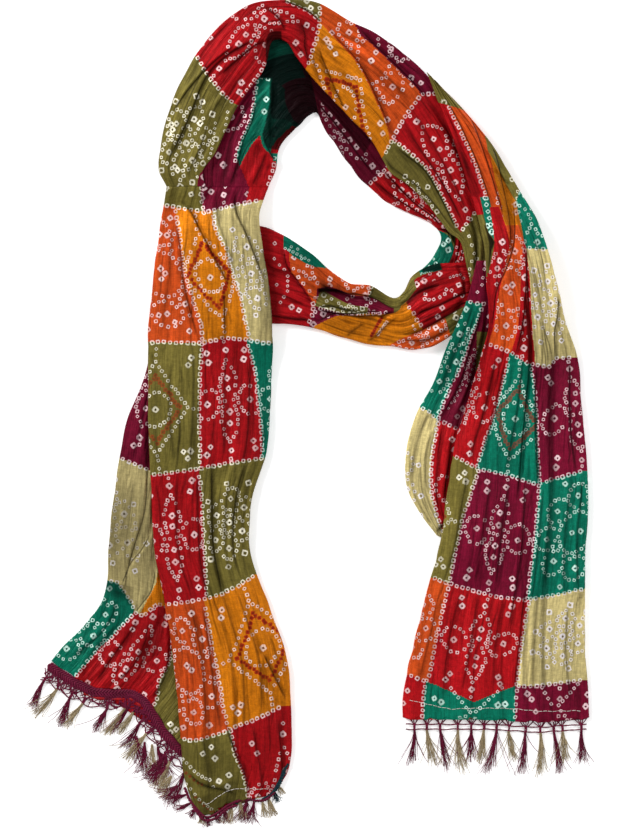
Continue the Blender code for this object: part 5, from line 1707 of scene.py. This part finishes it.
SLACK_BELOW_BRAID, SLACK = 1.3, 0.2
THREADS, THREAD_STEPS = 32, 8  # in a tassel, and in a thread
LEFT_UNDER_LOOSE, LEFT_FRONT_LOOSE = 2.0, 2.2  # how ruffled the tassels placed one by one are
TASSEL_JITTER, LEAN_JITTER = 0.16, 0.11
WRAP_TURNS, WRAP_STEPS, WRAP_RADIUS, WRAP_LENGTH = 4, 9, 1.25, 2.6  # the thread round a tassel's head
LOOPS_EACH = 9  # in the net below a braid, for each tassel
BRAID_STITCH, BRAID_STRETCH = 2.5, 1.12  # the braid is this much longer than the line between its ends
BRAID_CORE_STEPS = 90
HEM_ROLL, HEM_ROLL_STEPS = (0.42, 0.76), 30  # where the hem shows rolled below its braid
PLY, PLY_TWIST, PLY_HEIGHT = 0.8, 0.9, 2.6  # the three plies of a cord placed one by one
STITCH, STITCH_GAP, STITCH_RADIUS, STITCH_SIDES = 3.2, 0.9, 0.26, 5
RADII = {"net": 0.55, "tassels": 0.29, "hem": 1.7}
SIDES = {"net": 6, "tassels": 4, "hem": 8}
BRAID_RADIUS, BRAID_SIDES = 1.0, 6

SLACK_PITCH = 1.7  # half waves of slack in a cord, to each tassel
RIPPLE, SIDE_RIPPLE, HEIGHT_RIPPLE = 0.2, 37, 21  # the size and the two phases of a cord's fine wave
CORD_THICK = (0.85, 1.15)
BEND, BEND_STEPS = 0.05, 5
RUNG_SPAN = 0.52  # of the way from tassel to tassel
TIE_SIDES, TIE_SPREAD, TIE_ABOVE, TIE_BELOW = (-0.7, 0.0, 0.7), 0.12, 0.6, 0.8  # the knot's threads
TIE_LIFT, TIE_SLOPE, TIE_THICK = 0.4, 0.3, 1.1
FAN_SIDES, FAN_SPREAD, FAN_LIFT, FAN_THICK = (-1.0, -0.45, 0.1, 0.6, 1.05), (0.8, 1.25), 0.2, (0.7, 1.0)
FAN_FOOT, FAN_FOOT_SPREAD, FAN_IN_BRAID, FAN_IN_CLOTH = (-0.3, 1.2), 0.06, 0.5, 1.2
LOOP_SHARES, LOOP_SLANT, LOOP_IN_BRAID, LOOP_FOOT = (0.01, 0.99), 0.7, 0.6, (-5.0, 1.0)
LOOP_LIFT, LOOP_THICK, LOOP_BEND = (0, 1.2), (0.5, 1.0), 0.22

TASSEL_GAP, TASSEL_REACH, TASSEL_SWAY = 0.3, (0.8, 1.12), 0.12
THREAD_SPREAD, THREAD_REACH, THREAD_CURL = (0.035, 0.085), (0.78, 1.06), 0.09
STRAY_SHARE, STRAY_FAN = 0.08, (0.2, 0.6)  # threads that stick out to a side
SHORT_SHARE, SHORT_REACH = 0.15, 0.75
HEAD_OFFSET, HEAD_WIDTH, SKIRT_WIDTH, FAN_CURVE = (-1.5, 1.5), 0.45, 0.9, 1.4
THREAD_HEIGHT, THREAD_THICK = (0.35, 2.2), (0.8, 1.15)
THREAD_WAVE, THREAD_PHASE, RISE_WAVE, RISE_PHASE = 0.5, 8, 0.25, 4
LEAST_HEIGHT, THREAD_DROOP, THREAD_TAPER = 0.3, 0.55, 0.4
WRAP_START, WRAP_HEIGHT, WRAP_RISE, WRAP_THICK = 0.4, 1.55, 1.1, 0.5

BRAID_LINE, BRAID_EDGE, BRAID_STEPS, BRAID_SLANT = 4, 0.4, 6, 1.5
BRAID_HEIGHT, BRAID_TUCK, BRAID_ARCH, BRAID_TAPER = 1.5, 0.12, 0.6, 0.25
CORE_TOP, CORE_FOOT, CORE_HEIGHT, CORE_THICK = 1.7, 1.3, 1.45, 1.35
ROLL_OUT, ROLL_HEIGHT, ROLL_THICK, ROLL_LUMP, ROLL_PHASE = 0.9, 1.5, 0.6, 0.4, 0.9
LEFT_FRONT_SEED, PLY_STEPS, PLY_APART, PLY_THICK = 41, 8, 2.1, 1.2
STITCH_LINE_STEPS = 400
STITCH_PROFILE = ((0, -0.1), (0.25, 0.15), (0.5, 0.15), (0.75, 0.15), (1, -0.1))  # share along, rise


def hem_point(hem, lay, offset, share):
    """A place outside a hem: offset millimetres from its line, at a share of its length."""
    across = hem.across_from + share * (hem.across_to - hem.across_from)
    steps = (np.arange(SCALLOP_STEPS) - (SCALLOP_STEPS - 1) / 2) / SCALLOP_STEPS
    here = np.array([lay.at(place, 1.0) for place in across + steps / SCALLOPS]).mean(axis=0)
    near, far = np.array(lay.at(across - HEM_LOOK, 1.0)), np.array(lay.at(across + HEM_LOOK, 1.0))
    tangent = (far - near) / np.linalg.norm(far - near)
    return here + offset * np.array([tangent[1], -tangent[0]])


def cord_path(hem, lay, offset, rng, lift):
    """One cord of the net, slack between its knots."""
    points = []
    count = CORD_STEPS * hem.tassels
    sag = rng.uniform(*WAVE_START)
    slack = SLACK_BELOW_BRAID if hem.braid else SLACK
    for i in range(count + 1):
        share = i / count
        wave = slack * math.sin(SLACK_PITCH * math.pi * share * hem.tassels + sag)
        x, y = hem_point(hem, lay, offset + (wave + RIPPLE * math.sin(SIDE_RIPPLE * share + sag)), share)
        z = CORD_HEIGHT + lift + RIPPLE * math.sin(HEIGHT_RIPPLE * share + sag)
        points.append((x, y, z, rng.uniform(*CORD_THICK)))
    return points


def bent(start, end, height, rng, thick, bend=BEND):
    """A thread from place to place that bends to one side a little."""
    along = end - start
    side = np.array([-along[1], along[0]]) * rng.normal(0, bend)
    shares = (i / BEND_STEPS for i in range(BEND_STEPS + 1))
    places = [start + t * along + side * math.sin(math.pi * t) for t in shares]
    return [(x, y, height, thick) for x, y in places]


def rung_paths(hem, lay, share, rng):
    """The knot that ties the cords together at a tassel, and the threads that fan up from it to the hem."""
    paths = []
    first, second = hem.cords
    span = RUNG_SPAN / hem.tassels
    for k in TIE_SIDES:
        top = hem_point(hem, lay, first - TIE_ABOVE, share + TIE_SPREAD * span * k)
        low = hem_point(hem, lay, second + TIE_BELOW, share + TIE_SPREAD * span * k)
        paths.append(bent(top, low, CORD_HEIGHT + TIE_LIFT + TIE_SLOPE * abs(k), rng, TIE_THICK))
    start = hem.braid - FAN_IN_BRAID if hem.braid else -FAN_IN_CLOTH
    for k in FAN_SIDES:
        top = hem_point(hem, lay, start, share + k * span * rng.uniform(*FAN_SPREAD))
        low = hem_point(hem, lay, first + rng.uniform(*FAN_FOOT), share + FAN_FOOT_SPREAD * span * k)
        paths.append(bent(top, low, CORD_HEIGHT + FAN_LIFT, rng, rng.uniform(*FAN_THICK)))
    return paths


def loop_paths(hem, lay, rng):
    """The tangled loops of the wider net below a braid."""
    paths = []
    for _ in range(LOOPS_EACH * hem.tassels):
        share = rng.uniform(*LOOP_SHARES)
        end = np.clip(share + rng.uniform(-LOOP_SLANT, LOOP_SLANT) / hem.tassels, 0, 1)
        top = hem_point(hem, lay, hem.braid - LOOP_IN_BRAID, share)
        low = hem_point(hem, lay, hem.cords[1] + rng.uniform(*LOOP_FOOT), end)
        height, thick = CORD_HEIGHT + rng.uniform(*LOOP_LIFT), rng.uniform(*LOOP_THICK)
        paths.append(bent(top, low, height, rng, thick, LOOP_BEND))
    return paths


def down_and_side(lean):
    """The way that a tassel hangs, and the way to its side, each of length one."""
    down = np.array(lean) / np.linalg.norm(lean)
    return down, np.array([-down[1], down[0]])


def tassel_paths(root, lean, reach, rng, threads=THREADS, loose=1.0):
    """The threads of one tassel: tied at the head, then spreading to uneven, slightly curled ends."""
    down, side = down_and_side(lean)
    sway = rng.normal(0, TASSEL_SWAY)
    spread = rng.uniform(*THREAD_SPREAD) * loose
    paths = []
    for _ in range(threads):
        fan = rng.normal(sway, spread)
        if rng.random() < STRAY_SHARE:
            fan += rng.choice([-1, 1]) * rng.uniform(*STRAY_FAN)
        length = reach * rng.uniform(*THREAD_REACH) * (SHORT_REACH if rng.random() < SHORT_SHARE else 1.0)
        curl = rng.normal(0, THREAD_CURL * loose)
        wave, offset = rng.uniform(*WAVE_START), rng.uniform(*HEAD_OFFSET)
        height, thick = rng.uniform(*THREAD_HEIGHT), rng.uniform(*THREAD_THICK)
        points = []
        for i in range(THREAD_STEPS + 1):
            t = i / THREAD_STEPS
            out = offset * (HEAD_WIDTH + SKIRT_WIDTH * min(1, 2 * t)) + fan * length * t**FAN_CURVE
            out += curl * length * t**3
            out += THREAD_WAVE * t * math.sin(wave + THREAD_PHASE * t)
            x, y = root + down * (t * length) + side * out
            z = height * (1 - THREAD_DROOP * t) + RISE_WAVE * math.sin(wave + RISE_PHASE * t)
            points.append((x, y, max(LEAST_HEIGHT, z), thick * (1.0 - THREAD_TAPER * t)))
        paths.append(points)
    return paths


def wrap_path(root, lean):
    """The thread wound round a tassel's head."""
    down, side = down_and_side(lean)
    count = WRAP_TURNS * WRAP_STEPS
    points = []
    for i in range(count + 1):
        turn = 2 * math.pi * i / WRAP_STEPS
        x, y = root + down * (WRAP_START + WRAP_LENGTH * i / count) + side * WRAP_RADIUS * math.cos(turn)
        points.append((x, y, WRAP_HEIGHT + WRAP_RISE * math.sin(turn), WRAP_THICK))
    return points


def braid_paths(hem, lay):
    """Two rows of slanting stitches that meet along the middle of a knitted braid, over its core."""
    start, end = hem_point(hem, lay, BRAID_LINE, 0.0), hem_point(hem, lay, BRAID_LINE, 1.0)
    count = round(BRAID_STRETCH * float(np.linalg.norm(end - start)) / BRAID_STITCH)
    paths = []
    for i in range(count):
        for side in (BRAID_EDGE, hem.braid):
            points = []
            for t in np.linspace(0, 1, BRAID_STEPS):
                offset = side + (hem.braid / 2 - side) * t
                x, y = hem_point(hem, lay, offset, (i + BRAID_SLANT * t) / count)
                z = BRAID_HEIGHT + math.sin(math.pi * (BRAID_TUCK + BRAID_ARCH * t))
                points.append((x, y, z, 1.0 - BRAID_TAPER * abs(2 * t - 1)))
            paths.append(points)
    for offset in (CORE_TOP, hem.braid / 2, hem.braid - CORE_FOOT):
        core = [hem_point(hem, lay, offset, share) for share in np.linspace(0, 1, BRAID_CORE_STEPS)]
        paths.append([(x, y, CORE_HEIGHT, CORE_THICK) for x, y in core])
    return paths


def stitch_paths(lay, line, cloth):
    """Short stitches on the face of the cloth along a line of (across, along) near the hem."""
    across = np.linspace(line[0, 0], line[-1, 0], STITCH_LINE_STEPS)
    x, y = lay.at(across, line_along(line, across))
    walked = walked_along(x, y)
    paths = []
    place = 0.0
    while place + STITCH < walked[-1]:
        points = []
        for share, rise in STITCH_PROFILE:
            here_x, here_y = (np.interp(place + share * STITCH, walked, way) for way in (x, y))
            face = cast(cloth, np.array([here_x]), np.array([here_y]), ABOVE_ALL, False)[0]
            points.append((here_x, here_y, face + rise, 1.0))
        paths.append(points)
        place += STITCH + STITCH_GAP
    return paths


class Threads:
    """Paths gathered by colour and kind, to be swept together."""

    def __init__(self, node, seed):
        self.node = node
        self.rng = np.random.default_rng(seed)
        self.paths = {}

    def add(self, kind, colour, paths):
        self.paths.setdefault((kind, colour), []).extend(paths)

    def add_tufts(self, tufts, loose):
        """Tassels placed one by one."""
        for tuft in tufts:
            root = np.array((tuft.x, tuft.y), float)
            lean = (tuft.lean_x, tuft.lean_y)
            paths = tassel_paths(root, lean, tuft.reach, self.rng, tuft.threads, loose)
            self.add("tassels", tuft.colour, paths)

    def sweep(self, tree, threads):
        pieces = []
        for (kind, colour), paths in self.paths.items():
            name = f"{self.node}_{colour}_{kind}"
            piece = swept(name, paths, RADII[kind], SIDES[kind], tree, threads[colour])
            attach(piece, "root")
            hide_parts(self.node)
            pieces.append(piece)
        return pieces


def build_hem(hem, lay, tree, threads):
    """A net of two cords with its tassels, and with loops and a rolled hem where there is a braid."""
    made = Threads(hem.node, hem.seed)
    rng = made.rng
    for offset, lift in zip(hem.cords, CORD_LIFTS):
        made.add("net", "maroon", [cord_path(hem, lay, offset, rng, lift)])
    if hem.braid:
        made.add("net", "maroon", loop_paths(hem, lay, rng))
        rolled = []
        for i, share in enumerate(np.linspace(*HEM_ROLL, HEM_ROLL_STEPS)):
            x, y = hem_point(hem, lay, hem.braid + ROLL_OUT, share)
            rolled.append((x, y, ROLL_HEIGHT, ROLL_THICK + ROLL_LUMP * math.sin(ROLL_PHASE * i)))
        made.add("hem", "red", [rolled])
        made.add_tufts(LEFT_UNDER_TUFTS, LEFT_UNDER_LOOSE)
    for tassel in range(hem.tassels):
        share = (tassel + 0.5 + rng.normal(0, TASSEL_JITTER)) / hem.tassels
        made.add("net", "maroon", rung_paths(hem, lay, share, rng))
        root = hem_point(hem, lay, hem.cords[1] + TASSEL_GAP, share)
        lean = (hem.lean_x + rng.normal(0, LEAN_JITTER), hem.lean_y)
        colour = "maroon" if tassel % 2 == 0 else "beige"
        made.add("tassels", colour, tassel_paths(root, lean, hem.reach * rng.uniform(*TASSEL_REACH), rng))
        made.add("tassels", colour, [wrap_path(root, lean)])
    return made.sweep(tree, threads)


def build_left_front_hem(tree, threads):
    """The left end's hem is bunched up, so each of its tufts and cords is placed one by one."""
    made = Threads("left_front_fringe", LEFT_FRONT_SEED)
    made.add_tufts(LEFT_FRONT_TUFTS, LEFT_FRONT_LOOSE)
    for colour, points in LEFT_FRONT_CORDS:
        fine = catmull_rom(points, np.linspace(0, len(points) - 1, PLY_STEPS * len(points)))
        for k in (-1, 0, 1):
            path = []
            for i, (x, y) in enumerate(fine):
                turn = PLY_TWIST * i + PLY_APART * k
                off, up = PLY * math.sin(turn), PLY * math.cos(turn)
                path.append((x + off, y + up, PLY_HEIGHT + up, PLY_THICK))
            made.add("net", colour, [path])
    return made.sweep(tree, threads)


# ---- the picture ----
VIEW_LENGTH = 832 * 0.85  # the height of the picture at the floor
CAMERA_PLACE = (2.1, -2.1, 3000.0)
SENSOR = 36.0
FAR_CLIP = 20.0  # in metres, as are the lamps' places and sizes
Lamp = namedtuple("Lamp", "name place size power")
LAMPS = table(Lamp, [
    ("key", (-3.0, 2.3, 2.5), 1.3, 178.0),
    ("fill", (2.2, 0.5, 2.4), 1.6, 38.0),
])
SKY_STRENGTH = 0.42
FLOOR_HALF, FLOOR_DROP = 4.0, 0.0002


def build_camera():
    """Straight above the cloth, so that the picture shows the whole of it."""
    camera_data = bpy.data.cameras.new("camera")
    camera_data.sensor_width = SENSOR
    camera_data.lens = SENSOR * CAMERA_PLACE[2] / VIEW_LENGTH
    camera_data.clip_end = FAR_CLIP
    camera = bpy.data.objects.new("camera", camera_data)
    camera.location = [place * MM for place in CAMERA_PLACE]
    bpy.context.scene.collection.objects.link(camera)
    bpy.context.scene.camera = camera


def build_lights():
    """Two square lamps that point at the middle of the floor, and an even white sky."""
    for lamp in LAMPS:
        data = bpy.data.lights.new(lamp.name, "AREA")
        data.size = lamp.size
        data.energy = lamp.power
        thing = bpy.data.objects.new(lamp.name, data)
        thing.location = lamp.place
        x, y, z = lamp.place
        thing.rotation_euler = (math.atan2(math.hypot(x, y), z), 0.0, math.atan2(-y, -x) - math.pi / 2)
        bpy.context.scene.collection.objects.link(thing)
    world = bpy.data.worlds.new("soft_sky")
    world.use_nodes = True
    world.node_tree.nodes["Background"].inputs[0].default_value = (1.0, 1.0, 1.0, 1.0)
    world.node_tree.nodes["Background"].inputs[1].default_value = SKY_STRENGTH
    bpy.context.scene.world = world
    bpy.context.scene.view_settings.view_transform = "Standard"


def build_floor():
    half = FLOOR_HALF
    points = [(-half, -half, 0), (half, -half, 0), (half, half, 0), (-half, half, 0)]
    floor = mesh_object("floor", points, [(0, 1, 2, 3)], plain_floor())
    floor.location.z = -FLOOR_DROP


# ---- everything together ----
def build_cloths(silk):
    """Every stretch's piece and where it lies; the left end goes on from the arch."""
    pieces, lays = {}, {}
    for stretch in STRETCHES:
        seam = None
        if stretch.name == "left_end_front":
            seam = tree_of_meshes([pieces["arch"].data, pieces["inner_arch"].data])
        thing, lay = build_stretch(stretch, silk, seam)
        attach(thing, "root")
        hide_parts(stretch.name)
        pieces[stretch.name], lays[stretch.name] = thing, lay
    return pieces, lays


def build_hems(pieces, lays):
    """The pieces of thread that hang from each stretch or are sewn to it, by the name of the stretch."""
    tree = thread_tree()
    threads = {
        "maroon": thread("maroon_thread", (0.085, 0.004, 0.020), (0.20, 0.010, 0.045)),
        "beige": thread("beige_thread", (0.25, 0.185, 0.095), (0.50, 0.40, 0.25)),
        "navy": thread("navy_thread", (0.006, 0.010, 0.030), (0.004, 0.050, 0.045)),
        "red": thread("red_hem", (0.26, 0.004, 0.008), (0.42, 0.012, 0.014)),
        "white": thread("stitch_thread", (0.62, 0.55, 0.50), (0.80, 0.76, 0.72)),
    }
    made = {"left_end_front": build_left_front_hem(tree, threads)}
    for hem in HEMS:
        made[hem.stretch] = build_hem(hem, lays[hem.stretch], tree, threads)
        if hem.braid:
            paths = braid_paths(hem, lays[hem.stretch])
            braid = swept("left_under_braid", paths, BRAID_RADIUS, BRAID_SIDES, tree, threads["maroon"])
            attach(braid, "root")
            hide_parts("left_under_band")
            made[hem.stretch].append(braid)
    for name, line in STITCH_LINES:
        paths = stitch_paths(lays[name], line, tree_of_meshes([pieces[name].data]))
        stitches = swept(name + "_stitches", paths, STITCH_RADIUS, STITCH_SIDES, tree, threads["white"])
        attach(stitches, "root")
        made[name].append(stitches)
    return made


def main():
    pieces, lays = build_cloths(printed_silk())
    hem_pieces = build_hems(pieces, lays)
    for name, lay in lays.items():
        flat = (float(lay.width(lay.along).mean()) * MM, lay.length * MM)
    build_camera()
    build_lights()
    build_floor()


main()
